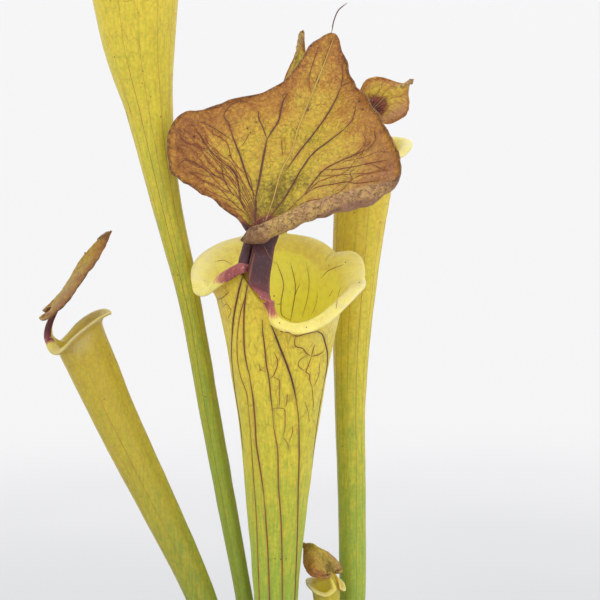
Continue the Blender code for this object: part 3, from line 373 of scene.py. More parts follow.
# What most leaves share, with sizes beside the front leaf and angles in degrees: the hood's size, tip,
# turn, roll and width, its arch and droop in mm, and the strength of ripe tone (on the right leaf also
# painted light that brightens it), purple stain, dark edging and painted shade that darkens the whole
# leaf.
USUAL_LEAF = {
    "form": PLAIN_FORM, "counts": LIGHT, "hood_size": 1.0, "hood_tip": 0.0, "hood_turn": 0.0,
    "hood_roll": 0.0, "hood_width": 1.0, "hood_arch": 7.0, "hood_droop": 8.0, "ripe_tone_and_painted_light": 0.0,
    "stain": 1.0, "stain_reach": 0.1, "edging": 0.4, "painted_shade": 0.0,
}
LEAVES = {
    "pitcher_front": USUAL_LEAF | {
        "spine": FRONT_SPINE, "mouth": 361.0, "facing": 25.0, "size": 1.0, "seed": 1,
        "form": FRONT_FORM, "counts": FINE, "hood_arch": 0.0, "hood_droop": 0.0, "stain_reach": 0.08,
        "edging": 1.0,
    },
    "pitcher_tall_left": USUAL_LEAF | {
        "spine": TALL_LEFT_SPINE, "mouth": 503.0, "facing": 165.0, "size": 0.80, "seed": 2,
        "counts": MEDIUM, "hood_tip": 14.0, "stain": 0.9,
    },
    "pitcher_right": USUAL_LEAF | {
        "spine": RIGHT_SPINE, "mouth": 416.0, "facing": 14.0, "size": 0.52, "seed": 3,
        "counts": MEDIUM, "hood_size": 0.47, "hood_tip": -18.0, "hood_turn": 5.0, "hood_roll": 40.0,
        # On this leaf the ripe tone also brightens the whole leaf as painted light.
        "hood_width": 0.95, "hood_arch": 12.0, "hood_droop": -16.0, "ripe_tone_and_painted_light": 0.08,
        "stain_reach": 0.5, "edging": 0.3,
    },
    "pitcher_rear": USUAL_LEAF | {
        "spine": REAR_SPINE, "mouth": 400.0, "facing": -10.0, "size": 0.46, "seed": 4,
        "hood_size": 1.15, "hood_tip": -45.0, "hood_turn": 30.0, "hood_roll": 3.0, "hood_width": 0.3,
        "stain": 0.6, "edging": 0.15,
    },
    "pitcher_low_left": USUAL_LEAF | {
        "spine": LOW_LEFT_SPINE, "mouth": 340.0, "facing": 88.0, "size": 0.43, "seed": 5,
        # This leaf is darkened all over as painted shade.
        "hood_size": 0.95, "hood_tip": 10.0, "ripe_tone_and_painted_light": 0.06, "stain": 0.8, "painted_shade": 0.38,
    },
    "pitcher_small": USUAL_LEAF | {
        "spine": SMALL_SPINE, "mouth": 224.0, "facing": -40.0, "size": 0.24, "seed": 6,
        "hood_size": 0.74, "hood_tip": 10.0, "hood_turn": -12.0, "hood_width": 1.15, "hood_arch": 28.0,
        # This leaf is darkened all over as painted shade.
        "ripe_tone_and_painted_light": -0.05, "stain": 0.12, "edging": 0.3, "painted_shade": 0.3,
    },
}

# Values kept at each point of a sheet, for the leaf's materials: tone of the tissue, purple stain,
# cream lip, fine net, nearness to a vein, nearness to the free edge, pink blush, reach over the hood
# and painted shade that darkens the whole leaf.
VALUES = ("tone", "stain", "cream", "net", "vein", "edge", "blush", "reach", "painted_shade")


def smooth(knots, values, at):
    """Values read from one smooth curve through the knots."""
    knots = np.asarray(knots, float)
    values = np.asarray(values, float).reshape(len(knots), -1)
    at = np.clip(np.atleast_1d(np.asarray(at, float)), knots[0], knots[-1])
    slopes = np.gradient(values, knots, axis=0)
    index = np.clip(np.searchsorted(knots, at, side="right") - 1, 0, len(knots) - 2)
    width = (knots[index + 1] - knots[index])[:, None]
    t = (at - knots[index])[:, None] / width
    start, end = values[index], values[index + 1]
    leave, arrive = slopes[index] * width, slopes[index + 1] * width
    near = (2 * t**3 - 3 * t**2 + 1) * start + (t**3 - 2 * t**2 + t) * leave
    return near + (3 * t**2 - 2 * t**3) * end + (t**3 - t**2) * arrive


def from_table(table, at):
    """The columns after the first of a table, read smoothly at places in its first column."""
    table = np.asarray(table, float)
    return smooth(table[:, 0], table[:, 1:], at)


def unit(vectors):
    """Vectors with a length of 1."""
    return vectors / np.maximum(np.linalg.norm(vectors, axis=-1, keepdims=True), 1e-9)


def ramp(t):
    """A soft step from 0 to 1."""
    t = np.clip(t, 0.0, 1.0)
    return t * t * (3.0 - 2.0 * t)


def noise_at(points, spacing, seed):
    """Smooth random values from -1 to 1, on a lattice with a given spacing."""
    scaled = np.asarray(points, float) / spacing + 31.7 * seed
    cell = np.floor(scaled).astype(np.int64)
    part = scaled - cell
    part = part * part * (3.0 - 2.0 * part)
    total = np.zeros(len(scaled))
    for corner in range(8):
        offset = np.array([corner & 1, corner >> 1 & 1, corner >> 2 & 1])
        x, y, z = (cell + offset).T
        mixed = (x * 73856093) ^ (y * 19349663) ^ (z * 83492791)
        mixed = (mixed * 1103515245 + 12345) & 0x7FFFFFFF
        mixed = ((mixed >> 13) ^ mixed) * 1274126177 & 0x7FFFFFFF
        weight = np.prod(np.where(offset, part, 1.0 - part), axis=1)
        total += (mixed / 0x3FFFFFFF - 1.0) * weight
    return total


def spine_frames(leaf, heights):
    """Centres, half widths and the right, front and up directions of the tube at some heights."""
    heights = np.asarray(heights, float)
    place = from_table(leaf["spine"], heights)
    above = np.clip(heights + SPINE_STEP, None, leaf["spine"][-1][0])
    below = np.clip(heights - SPINE_STEP, leaf["spine"][0][0], None)
    shift = from_table(leaf["spine"], above)[:, :2] - from_table(leaf["spine"], below)[:, :2]
    up = unit(np.column_stack([shift, above - below]))
    heading = math.radians(leaf["facing"])
    right = np.array([math.cos(heading), -math.sin(heading), 0.0])
    right = unit(right - (up @ right)[:, None] * up)
    front = np.cross(up, right)
    centre = np.column_stack([place[:, 0], place[:, 1], heights])
    return centre, place[:, 2], right, front, up


def tube_points(leaf, angles, heights):
    """Points of the tube's outer face, one for each pair of angle and height."""
    centre, radius, right, front, _ = spine_frames(leaf, heights)
    angles = np.asarray(angles, float)
    turn = np.radians(angles)[:, None]
    off_front = np.abs((angles % 360.0) - 180.0)
    fade = ramp((heights - BASE_HEIGHT - 15.0) / 40.0) * ramp((leaf["mouth"] + 4.0 - heights) / 25.0)
    radius = radius * (1.0 + PROW_RISE * fade * np.exp(-((off_front / PROW_SPREAD) ** 2)))
    return centre + radius[:, None] * (np.sin(turn) * right - np.cos(turn) * front)


def throat_edge(leaf, angles):
    """How far the throat's edge lies over the mouth's centre at each angle."""
    edge = from_table(leaf["form"]["rim"], angles % 360.0)[:, 0]
    low, high = from_table(leaf["form"]["rim"], [STRAP_ANGLE, 360.0 - STRAP_ANGLE])[:, 0]
    signed = (angles + 180.0) % 360.0 - 180.0
    across = 0.5 + 0.5 * signed / STRAP_ANGLE
    return np.where(np.abs(signed) < STRAP_ANGLE, high + (low - high) * across, edge) * leaf["size"]


def raised(leaf, angles, levels):
    """Heights at some levels up the tube, which lead over to the throat's edge near the mouth."""
    blend = RIM_BLEND * leaf["size"]
    return levels + throat_edge(leaf, angles) * ramp((levels - leaf["mouth"] + blend) / blend)


def leaf_frame(leaf):
    """Origin and axes of the leaf's own frame, at the mouth's centre."""
    centre, _, right, front, up = spine_frames(leaf, np.array([leaf["mouth"]]))
    return centre[0], np.stack([right[0], front[0], up[0]])


def rotation(angle, first, second):
    """A turn by an angle between two axes."""
    turn = np.eye(3)
    turn[first, first] = turn[second, second] = math.cos(angle)
    turn[first, second], turn[second, first] = -math.sin(angle), math.sin(angle)
    return turn


def hood_rotation(leaf):
    """The hood's turn about the top of its neck: tipped forward, turned to its heading, then rolled."""
    tip, turn, roll = (math.radians(leaf[name]) for name in ("hood_tip", "hood_turn", "hood_roll"))
    return rotation(tip, 1, 2) @ rotation(turn, 0, 1) @ rotation(roll, 0, 2)


def hood_outline(leaf, places):
    """The hood's outline in leaf coordinates, drawn in by the reach of its rolled margin."""
    table = from_table(leaf["form"]["hood"], places)
    pivot = np.array(leaf["form"]["neck"][-1][:3])
    way = unit(table[:, :3] - pivot)
    along = unit(np.gradient(table[:, :3], axis=0))
    way = unit(way - np.sum(way * along, axis=1, keepdims=True) * along)
    turn = np.radians(table[:, 4])
    reach = table[:, 3] / turn * np.sin(np.minimum(turn, math.pi / 2.0))
    outline = table[:, :3] - reach[:, None] * way
    outline[:, 2] -= leaf["hood_droop"] * (outline[:, 0] / HOOD_HALF_WIDTH) ** 2
    outline[:, 0] *= leaf["hood_width"]
    return pivot + leaf["hood_size"] * (outline - pivot) @ hood_rotation(leaf), table[:, 3:]


class NeckAndHood:
    """The strap up the back of the mouth and the hood that fans out from its top."""

    def __init__(self, leaf):
        self.leaf = leaf
        self.origin, self.axes = leaf_frame(leaf)
        angles = np.array([-STRAP_ANGLE, STRAP_ANGLE])
        self.ends = tube_points(leaf, angles, leaf["mouth"] + throat_edge(leaf, angles))
        middle = (self.ends.mean(axis=0) - self.origin) @ self.axes.T / leaf["size"]
        first = [middle[0], middle[1], middle[2], leaf["form"]["neck"][0][3]]
        self.path = np.vstack([first, leaf["form"]["neck"]])

    def neck(self, places, share):
        """A row across the neck, at a share of the way up."""
        size, path = self.leaf["size"], self.path
        s, f, u, half = smooth(np.arange(len(path)), path, [share * (len(path) - 1.0)])[0]
        level = self.origin + size * np.array([s, f, u]) @ self.axes
        level = level + (places * half * size)[:, None] * self.axes[0]
        start = self.origin + size * path[0, :3] @ self.axes
        start = start + (places * path[0, 3] * size)[:, None] * self.axes[0]
        across = (0.5 + 0.5 * places)[:, None]
        base = self.ends[0] + across * (self.ends[1] - self.ends[0])
        return level + (base - start) * (1.0 - share) ** 2

    def hood(self, places, t):
        """A row across the hood, at a share t of the way from the neck to the outline."""
        leaf, path = self.leaf, self.path
        scale = leaf["size"] * leaf["hood_size"]
        top = self.neck(places, 1.0)
        direction = unit((path[-1, :3] - path[-2, :3]) @ self.axes)
        fine = np.linspace(-1.0, 1.0, 201)
        outline = hood_outline(leaf, fine)[0]
        outline = np.column_stack([np.interp(places, fine, outline[:, k]) for k in range(3)])
        outline = outline * leaf["size"] @ self.axes + self.origin
        arch = (1.0 - places**2)[:, None] * np.array([0.0, -0.4, 1.0]) * leaf["hood_arch"]
        bow = (from_table(leaf["form"]["bow"], places) + arch) @ hood_rotation(leaf) * scale @ self.axes
        lift = NECK_LIFT * scale * (1.0 - np.abs(places[:, None])) ** 0.5 * direction
        return top + (outline - top) * t + bow * 4.0 * t * (1.0 - t) + lift * 4.0 * t * (1.0 - t) ** 3


class Sheet:
    """A leaf's outer face: points row by row, faces with their material, and values at each point."""

    def __init__(self, painted_shade):
        self.painted_shade = painted_shade
        self.points = []
        self.values = []
        self.faces = []
        self.kinds = []
        self.count = 0

    def row(self, points, **values):
        """Adds a row of points with their values. Returns their numbers."""
        points = np.asarray(points, float)
        columns = np.zeros((len(points), len(VALUES)))
        # Painted shade of the whole leaf, kept at every point.
        columns[:, VALUES.index("painted_shade")] = self.painted_shade
        for name, value in values.items():
            columns[:, VALUES.index(name)] = value
        self.points.append(points)
        self.values.append(columns)
        first = self.count
        self.count += len(points)
        return list(range(first, self.count))

    def strip(self, low, high, kind):
        """Four-sided faces between two rows of one length."""
        self.faces.extend(zip(low, low[1:], high[1:], high))
        self.kinds.extend([kind] * (len(low) - 1))

    def zipper(self, low, high, kind):
        """Triangles between two rows that differ in length."""
        i = j = 0
        while i < len(low) - 1 or j < len(high) - 1:
            next_low = (i + 1) / (len(low) - 1)
            next_high = (j + 1) / (len(high) - 1)
            if j == len(high) - 1 or (i < len(low) - 1 and next_low <= next_high):
                self.faces.append((low[i], low[i + 1], high[j]))
                i += 1
            else:
                self.faces.append((low[i], high[j + 1], high[j]))
                j += 1
            self.kinds.append(kind)

    def join(self, low, high, kind):
        """Faces between any two rows."""
        if len(low) == len(high):
            self.strip(low, high, kind)
        else:
            self.zipper(low, high, kind)

    def all_points(self):
        return np.vstack(self.points)

    def normals(self):
        """The outward direction at each point."""
        points = self.all_points()
        total = np.zeros_like(points)
        for corners, (a, b, c, d) in ((3, (0, 1, 0, 2)), (4, (0, 2, 1, 3))):
            faces = np.array([face for face in self.faces if len(face) == corners]).reshape(-1, corners)
            at = points[faces]
            cross = np.cross(at[:, b] - at[:, a], at[:, d] - at[:, c])
            for k in range(corners):
                np.add.at(total, faces[:, k], cross)
        return unit(total)


TUBE, HOOD = 0, 2

# Tone of the tube's tissue from the base (0) to the throat (1): green to golden yellow.
TUBE_TONE = ((0.0, 0.02), (0.2, 0.10), (0.42, 0.22), (0.6, 0.34), (0.8, 0.47), (1.0, 0.55))

# Tone of the hood's tissue from the neck (0) to the margin (1): olive, mustard, orange-brown.
HOOD_TONE = ((0.0, 0.06), (0.1, 0.18), (0.22, 0.33), (0.5, 0.41), (0.7, 0.48), (0.85, 0.58), (1.0, 0.70))


# The lip's two side lobes: angle and spread.
LOBES = ((100.0, 38.0), (268.0, 30.0))


def lobes(angles):
    """How near an angle is to the lip's side lobes, from 0 to 1."""
    angles = np.asarray(angles, float) % 360.0
    return sum(np.exp(-(((angles - middle) / spread) ** 2)) for middle, spread in LOBES)


def add_tube(sheet, leaf):
    """The closed base and the tube up to the throat. Returns the angles and the throat's row."""
    counts = leaf["counts"]
    strap = np.linspace(-STRAP_ANGLE, STRAP_ANGLE, counts["strap"])
    rest = np.linspace(STRAP_ANGLE, 360.0 - STRAP_ANGLE, counts["round"])[1:-1]
    angles = np.concatenate([strap, rest])
    rise = 1.0 - (1.0 - np.linspace(0.0, 1.0, counts["tube"])) ** 1.25
    levels = [BASE_HEIGHT, *(SEAT_TOP + (leaf["mouth"] - SEAT_TOP) * rise)]
    last = None
    for level in levels:
        heights = raised(leaf, angles, level)
        share = (heights - BASE_HEIGHT) / (leaf["mouth"] - BASE_HEIGHT)
        # Ripe tone up the tube. On the right leaf it is also painted light that brightens it.
        tone = from_table(TUBE_TONE, share)[:, 0] + leaf["ripe_tone_and_painted_light"] * share
        net = ramp((share - 0.55) / 0.35) * leaf["edging"]
        cream = 0.5 * ramp((level - leaf["mouth"]) / (20.0 * leaf["size"]) + 1.0) * lobes(angles)
        ring = sheet.row(tube_points(leaf, angles, heights), tone=tone, net=net, cream=cream)
        if last:
            sheet.strip(last + last[:1], ring + ring[:1], TUBE)
        else:
            centre = sheet.row([spine_frames(leaf, np.array([BASE_HEIGHT]))[0][0]])[0]
            for a, b in zip(ring, ring[1:] + ring[:1]):
                sheet.faces.append((b, a, centre))
                sheet.kinds.append(TUBE)
        last = ring
    return angles, last


def add_neck_and_hood(sheet, leaf, throat):
    """The neck and the hood. Returns their rows."""
    counts = leaf["counts"]
    shape = NeckAndHood(leaf)
    rows = []
    last = throat[:counts["strap"]]
    places = np.linspace(-1.0, 1.0, counts["strap"])
    for k in range(1, counts["neck"] + 1):
        share = k / counts["neck"]
        stripe = np.exp(-(((places + 0.1) / 0.4) ** 2))
        stain = leaf["stain"] * 0.9 * ramp((share - 0.4) / 0.4) * (1.0 - 0.9 * stripe)
        row = sheet.row(shape.neck(places, share), tone=0.5 - 0.1 * share, stain=stain)
        sheet.strip(last, row, TUBE)
        rows.append(row)
        last = row
    columns = counts["strap"]
    most = (counts["strap"] - 1) * 2 ** counts["doubles"] + 1
    for k in range(1, counts["hood"] + 1):
        t = k / counts["hood"]
        while columns < most and columns < most * t:
            columns = 2 * columns - 1
        places = np.linspace(-1.0, 1.0, columns)
        left, right = ramp((-places - 0.45) / 0.45), ramp((places - 0.2) / 0.5)
        tone = from_table(HOOD_TONE, t)[0, 0] + (0.15 * left + 0.05 * right) * ramp((t - 0.2) / 0.4)
        tone = tone * min(1.0, 0.4 + 2.0 * leaf["edging"])
        stain = leaf["stain"] * ramp((leaf["stain_reach"] - t) / leaf["stain_reach"])
        net = (0.5 + 0.5 * t) * (0.3 + 0.7 * leaf["edging"])
        row = sheet.row(
            shape.hood(places, t), tone=tone, net=net, blush=right * ramp(1.6 * t), stain=stain, reach=t,
        )
        sheet.join(last, row, HOOD)
        rows.append(row)
        last = row
    return rows


def margin_loop(leaf, angles, throat, rows):
    """The sheet's free edge as one closed loop.

    Each entry has its point, width, turn, bending part, kind, purple share, cream share and stripe.
    """
    counts, form = leaf["counts"], leaf["form"]
    first = counts["strap"] - 1
    rim_angles = list(angles[first:]) + [360.0 - STRAP_ANGLE]
    rim_points = list(throat[first:]) + [throat[0]]
    rim = from_table(form["rim"], rim_angles)[:, 1:]
    loop = []
    for point, angle, (width, turn) in zip(rim_points, rim_angles, rim):
        near_right = (angle - STRAP_ANGLE) / 13.0
        near_left = (360.0 - STRAP_ANGLE - angle) / 34.0
        purple = leaf["stain"] * 0.5 * ramp(1.0 - min(near_right, near_left))
        loop.append((point, width, turn, 1.0, TUBE, purple, 0.45 + 0.55 * float(lobes(angle)), 0.0))

    def side(column, table):
        """The margin up one side, from the throat to the hood's corner."""
        neck = np.linspace(0.0, 0.33, counts["neck"] + 1)[1:]
        hood = np.linspace(0.33, 1.0, counts["hood"] + 1)[1:-1]
        places = np.concatenate([neck, hood])
        entries = []
        for row, place, values in zip(rows, places, from_table(table, places)):
            kind = TUBE if place < 0.34 else HOOD
            purple = 0.5 + 0.5 * ramp(place / 0.17) if place < 0.34 else ramp((0.48 - place) / 0.14)
            stripe = float(column < 0 and place < 0.34)
            entries.append((row[column], *values, kind, float(leaf["stain"] * purple), 0.0, stripe))
        return entries

    edge = hood_outline(leaf, np.linspace(-1.0, 1.0, len(rows[-1])))[1]
    loop += side(0, form["sides"][0])
    for point, (width, turn) in zip(rows[-1], edge):
        loop.append((point, width * leaf["hood_size"], turn, 1.0, HOOD, 0.0, 0.0, 0.0))
    loop += reversed(side(-1, form["sides"][1]))
    return loop


def add_margin(sheet, leaf, loop):
    """The rolled lip and margins: a band that turns outward from the sheet's free edge."""
    rows = leaf["counts"]["lip"]
    columns = [np.array(column) for column in zip(*loop)]
    index, width, turn, bending, kind, purple, pale, stripe = columns
    width = width * leaf["size"]
    turn = np.radians(turn)
    hood = kind == HOOD
    rolled = np.where(hood, ramp((np.degrees(turn) - 100.0) / 40.0), 0.0)
    kinds = np.maximum(kind, np.roll(kind, -1)).tolist()
    normal = sheet.normals()[index]
    place = sheet.all_points()[index]
    along = unit(np.roll(place, -1, axis=0) - place)
    along = unit(along + np.roll(along, 1, axis=0))
    for _ in range(3):
        normal = unit(normal + 0.5 * np.roll(normal, 1, axis=0) + 0.5 * np.roll(normal, -1, axis=0))
    normal = unit(normal - np.sum(normal * along, axis=1, keepdims=True) * along)
    outward = np.cross(normal, along)
    last = index.tolist() + index.tolist()[:1]
    for k in range(rows):
        angle = (turn * np.minimum(1.0, (k + 0.5) / rows / bending))[:, None]
        place = place + (width / rows)[:, None] * (np.cos(angle) * outward + np.sin(angle) * normal)
        share = (k + 1) / rows
        tone = np.where(hood, (0.68 + 0.1 * share) * (1.0 - rolled) + 0.45 * rolled, 0.68)
        edge = np.where(hood, share**1.3 * (1.0 - rolled) + 0.6 * rolled, 0.0) * leaf["edging"]
        cream = share * pale * (1.0 - purple)
        stain = purple * ramp((0.3 + 1.4 * purple - share) / 0.25 + 1.0)
        stain = stain * (1.0 - 0.8 * stripe * math.exp(-(((share - 0.11) / 0.09) ** 2)))
        row = sheet.row(
            place, tone=tone, stain=stain, cream=cream, net=hood * 1.0, edge=edge, blush=0.5 * rolled,
            reach=hood * 1.0,
        )
        row = row + row[:1]
        sheet.faces.extend(zip(last, last[1:], row[1:], row))
        sheet.kinds.extend(kinds)
        last = row


def smooth_path(points, spacing):
    """Points at an even spacing along a smooth curve through some points."""
    points = np.asarray(points, float)
    knots = np.concatenate([[0.0], np.cumsum(np.linalg.norm(np.diff(points, axis=0), axis=1))])
    count = max(3, int(knots[-1] / spacing) + 1)
    return smooth(knots, points, np.linspace(0.0, knots[-1], count))


def view_ray(place):
    """The direction from the camera through a place in the front view."""
    focal = VIEW_SIZE * CAMERA_LENS / CAMERA_SENSOR
    right = (place[0] - VIEW_SIZE / 2.0) / focal
    up = (VIEW_SIZE / 2.0 - place[1]) / focal
    tilt = math.radians(CAMERA_TILT)
    ahead, above = math.sin(tilt), math.cos(tilt)
    return Vector((right, ahead + up * above, up * ahead - above)).normalized()


def seen_paths(tree, veins):
    """Veins drawn in the front view, laid on the surface that is seen there."""
    eye = Vector(CAMERA_PLACE) / MM
    paths = []
    for width, shade, *outline in veins:
        runs = [[]]
        for place in smooth_path(np.reshape(outline, (-1, 2)), VEIN_STEP):
            hit, normal, _, _ = tree.ray_cast(eye, view_ray(place))
            last = runs[-1]
            if hit is None or (last and (hit - last[-1][0]).length > VEIN_JUMP):
                runs.append([])
            if hit is not None:
                runs[-1].append((hit, -normal if normal.dot(hit - eye) > 0.0 else normal))
        paths += [(width, shade, run) for run in runs if len(run) > 2]
    return paths


def laid_paths(tree, veins):
    """Veins given as lines of points near the leaf, laid on its outer face."""
    return [
        (width, shade, [tree.find_nearest(Vector(point))[:2] for point in points])
        for width, shade, points in veins
    ]


def tube_vein(leaf, angle, low, high, rng, wander):
    """A line up the tube between two shares of its height, at an angle that wanders."""
    share = np.linspace(low, high, max(4, int((high - low) * 90)))
    sway = wander * np.sin(share * rng.uniform(5.0, 11.0) + rng.uniform(0.0, 6.0))
    angles = angle + sway + wander * 0.4 * np.sin(share * rng.uniform(25.0, 45.0))
    levels = BASE_HEIGHT + share * (leaf["mouth"] - BASE_HEIGHT)
    return tube_points(leaf, angles, raised(leaf, angles, levels))


def grown_down(leaf, tree, paths, rng):
    """The same veins, with those that leave the front view at its lower edge led down to the base."""
    grown = []
    for width, shade, run in paths:
        end = np.array(run[-1][0])
        if end[2] < VIEW_FOOT:
            centre, _, right, front, _ = spine_frames(leaf, end[2:])
            outward = end - centre[0]
            angle = math.degrees(math.atan2(outward @ right[0], -outward @ front[0]))
            share = (end[2] - 1.0 - BASE_HEIGHT) / (leaf["mouth"] - BASE_HEIGHT)
            down = tube_vein(leaf, angle, 0.05, share, rng, 0.8)[::-1]
            run = run + laid_paths(tree, [(width, shade, down)])[0][2]
        grown.append((width, shade, run))
    return grown


def tube_veins(leaf, rng, first, last, count, top, strength):
    """Long veins up the tube with short links between them near the mouth."""
    veins = []
    angles = np.linspace(first, last, count) + rng.uniform(-4.0, 4.0, count)
    size = strength * leaf["size"] ** 0.5
    for k, angle in enumerate(angles):
        width = (0.75 if k % 2 else 0.5) * size
        shade = rng.uniform(0.45, 0.75) * strength
        veins.append((width, shade, tube_vein(leaf, angle, 0.06, top, rng, 2.5)))
    for _ in range(count * 4):
        k = rng.integers(0, count - 1)
        start, end = angles[k], angles[k + 1]
        low = top - rng.uniform(0.02, 0.32) ** 1.2
        share = low + np.array([0.0, 0.012, 0.010, 0.022]) * rng.choice([-1.0, 1.0])
        bend = start + (end - start) * np.array([0.0, 0.35, 0.7, 1.0])
        share = np.clip(share, 0.1, top)
        line = np.vstack([tube_vein(leaf, a, s, s + 1e-4, rng, 0.0)[:1] for a, s in zip(bend, share)])
        veins.append((0.36 * size, rng.uniform(0.4, 0.6) * strength, smooth_path(line, 0.8)))
    return veins


def hood_veins(leaf, rng, starts, strength):
    """Veins that fan out over the hood from their starts across its neck, fork and wander."""
    shape = NeckAndHood(leaf)
    size = strength * leaf["size"] ** 0.5

    def line(place, drift, low, high, width, shade):
        t = np.linspace(low, high, max(4, int((high - low) * 40)))
        sway = 0.02 * np.sin(t * rng.uniform(9.0, 18.0) + rng.uniform(0.0, 6.0))
        places = place + drift * (t - low) + sway
        points = np.vstack([shape.hood(np.array([p]), s) for p, s in zip(np.clip(places, -0.98, 0.98), t)])
        return width * size, shade, points, places, t

    veins = [line(0.0, 0.0, 0.03, 0.99, 0.7, 0.1)[:3]]
    for place in starts:
        drift = rng.uniform(-0.05, 0.05)
        width, shade, points, places, t = line(place, drift, 0.02, 0.95, 0.75, 0.85 * strength)
        veins.append((width, shade, points))
        for _ in range(3):
            at = rng.integers(len(t) // 4, len(t) - 3)
            drift = rng.choice([-1.0, 1.0]) * rng.uniform(0.12, 0.3)
            low, high = t[at], min(0.96, t[at] + rng.uniform(0.15, 0.45))
            veins.append(line(places[at], drift, low, high, 0.42, 0.7 * strength)[:3])
    return veins


def new_object(name, points, faces, shades=None):
    """A smooth object from points in mm. Shades are kept at its points."""
    mesh = bpy.data.meshes.new(name)
    mesh.from_pydata((np.asarray(points) * MM).tolist(), [], [list(face) for face in faces])
    if shades is not None:
        shade = mesh.attributes.new("shade", "FLOAT", "POINT")
        shade.data.foreach_set("value", np.asarray(shades, np.float32))
    mesh.shade_smooth()
    made = bpy.data.objects.new(name, mesh)
    bpy.context.scene.collection.objects.link(made)
    return made


def vein_mesh(name, paths):
    """Raised cords along the veins, thinning to both ends, sunk by part of their height."""
    points, faces, shades = [], [], []
    for width, shade, run in paths:
        centre = np.array([place for place, _ in run])
        normal = unit(np.array([normal for _, normal in run]))
        along = unit(np.gradient(centre, axis=0))
        across = unit(np.cross(normal, along))
        place = np.linspace(0.0, 1.0, len(run))
        taper = CORD_TIP + (1.0 - CORD_TIP) * np.minimum(1.0, np.minimum(place, 1.0 - place) * 5.0)
        half = 0.5 * width * taper[:, None]
        first = len(points)
        for k in range(CORD_SIDES):
            angle = 2.0 * math.pi * k / CORD_SIDES
            rise = CORD_HEIGHT * math.sin(angle) - CORD_SINK
            points.extend(centre + half * (math.cos(angle) * across + rise * normal))
        rows = len(run)
        for k in range(CORD_SIDES):
            low, high = first + k * rows, first + (k + 1) % CORD_SIDES * rows
            for j in range(rows - 1):
                faces.append((low + j, low + j + 1, high + j + 1, high + j))
        faces.append([first + k * rows for k in range(CORD_SIDES)])
        faces.append([first + k * rows + rows - 1 for k in reversed(range(CORD_SIDES))])
        shades.extend([shade] * (CORD_SIDES * rows))
    return new_object(name, points, faces, shades)


def nearness(points, paths, reach):
    """How near each point is to a vein, from 0 to 1."""
    places = [place for _, _, run in paths for place, _ in run]
    widths = np.array([width for width, _, run in paths for _ in run])
    tree = kdtree.KDTree(len(places))
    for k, place in enumerate(places):
        tree.insert(place, k)
    tree.balance()
    found = [tree.find(point)[1:] for point in points]
    index = np.array([hit[0] for hit in found])
    gap = np.array([hit[1] for hit in found])
    width = widths[index]
    return np.exp(-((gap / (reach * np.sqrt(width))) ** 2)) * np.minimum(1.0, width / 0.7)


def relief(sheet, leaf, near):
    """Buckles, crumples and valleys along the veins of the hood, along the normals, in mm."""
    points = sheet.all_points()
    reach = np.vstack(sheet.values)[:, VALUES.index("reach")]
    hood = ramp(reach / 0.15)
    size, seed = leaf["size"], leaf["seed"]
    on_hood = on_tube = 0.0
    for k, (spacing, hood_height, tube_height) in enumerate(RELIEF):
        bumps = noise_at(points, spacing * size, seed + 20 * k)
        on_hood = on_hood + hood_height * bumps
        on_tube = on_tube + tube_height * bumps
    wave = noise_at(points, WAVE_SPACING * size, seed + 60) * reach**5
    on_hood = on_hood + WAVE_HEIGHT * wave - VALLEY_DEPTH * near
    return (size * (hood * on_hood + (1.0 - hood) * on_tube))[:, None] * sheet.normals()


def sheet_object(name, sheet, materials):
    """A leaf's sheet with a solid wall, its materials, and its values kept at its points."""
    made = new_object(name, sheet.all_points(), sheet.faces)
    mesh = made.data
    mesh.polygons.foreach_set("material_index", sheet.kinds)
    values = np.vstack(sheet.values).astype(np.float32)
    for k, value in enumerate(VALUES):
        attribute = mesh.attributes.new(value, "FLOAT", "POINT")
        attribute.data.foreach_set("value", np.ascontiguousarray(values[:, k]))
    for material in materials:
        mesh.materials.append(material)
    wall = made.modifiers.new("wall", "SOLIDIFY")
    wall.thickness = WALL * MM
    wall.offset = -1.0
    wall.material_offset = 1
    return made


def surface_tree(thing):
    """The shown surface of an object, in mm, for finding places on it."""
    graph = bpy.context.evaluated_depsgraph_get()
    mesh = thing.evaluated_get(graph).to_mesh()
    points = np.zeros(len(mesh.vertices) * 3, np.float32)
    mesh.vertices.foreach_get("co", points)
    faces = [tuple(face.vertices) for face in mesh.polygons]
    return BVHTree.FromPolygons((points.reshape(-1, 3) / MM).tolist(), faces)


def plug(tree, value, socket):
    """Links a socket to another, or sets its value."""
    if isinstance(value, bpy.types.NodeSocket):
        tree.links.new(value, socket)
    else:
        socket.default_value = value


def node(tree, kind, inputs=(), **settings):
    """A shader node with its inputs linked or set."""
    made = tree.nodes.new("ShaderNode" + kind)
    for name, value in settings.items():
        setattr(made, name, value)
    for name, value in dict(inputs).items():
        plug(tree, value, made.inputs[name])
    return made


def mix(tree, factor, first, second, blend="MIX"):
    """One colour laid over another."""
    made = node(tree, "Mix", data_type="RGBA", blend_type=blend)
    for index, value in ((0, factor), (6, first), (7, second)):
        plug(tree, value, made.inputs[index])
    return made.outputs[2]


def math_node(tree, operation, first, second=0.0, third=0.0):
    """The result of one step of arithmetic."""
    made = node(tree, "Math", operation=operation)
    for index, value in enumerate((first, second, third)):
        plug(tree, value, made.inputs[index])
    return made.outputs[0]


def times(tree, first, second):
    """Two values multiplied."""
    return math_node(tree, "MULTIPLY", first, second)


def colour_ramp(tree, factor, stops):
    """A colour read from a ramp."""
    made = node(tree, "ValToRGB", {"Fac": factor})
    elements = made.color_ramp.elements
    while len(elements) < len(stops):
        elements.new(0.5)
    for element, (place, colour) in zip(elements, stops):
        element.position = place
        element.color = colour
    return made.outputs["Color"]


def map_range(tree, value, low, high, start=0.0, end=1.0):
    """A soft step from one value to another."""
    inputs = {"Value": value, "From Min": low, "From Max": high, "To Min": start, "To Max": end}
    return node(tree, "MapRange", inputs, interpolation_type="SMOOTHSTEP").outputs["Result"]


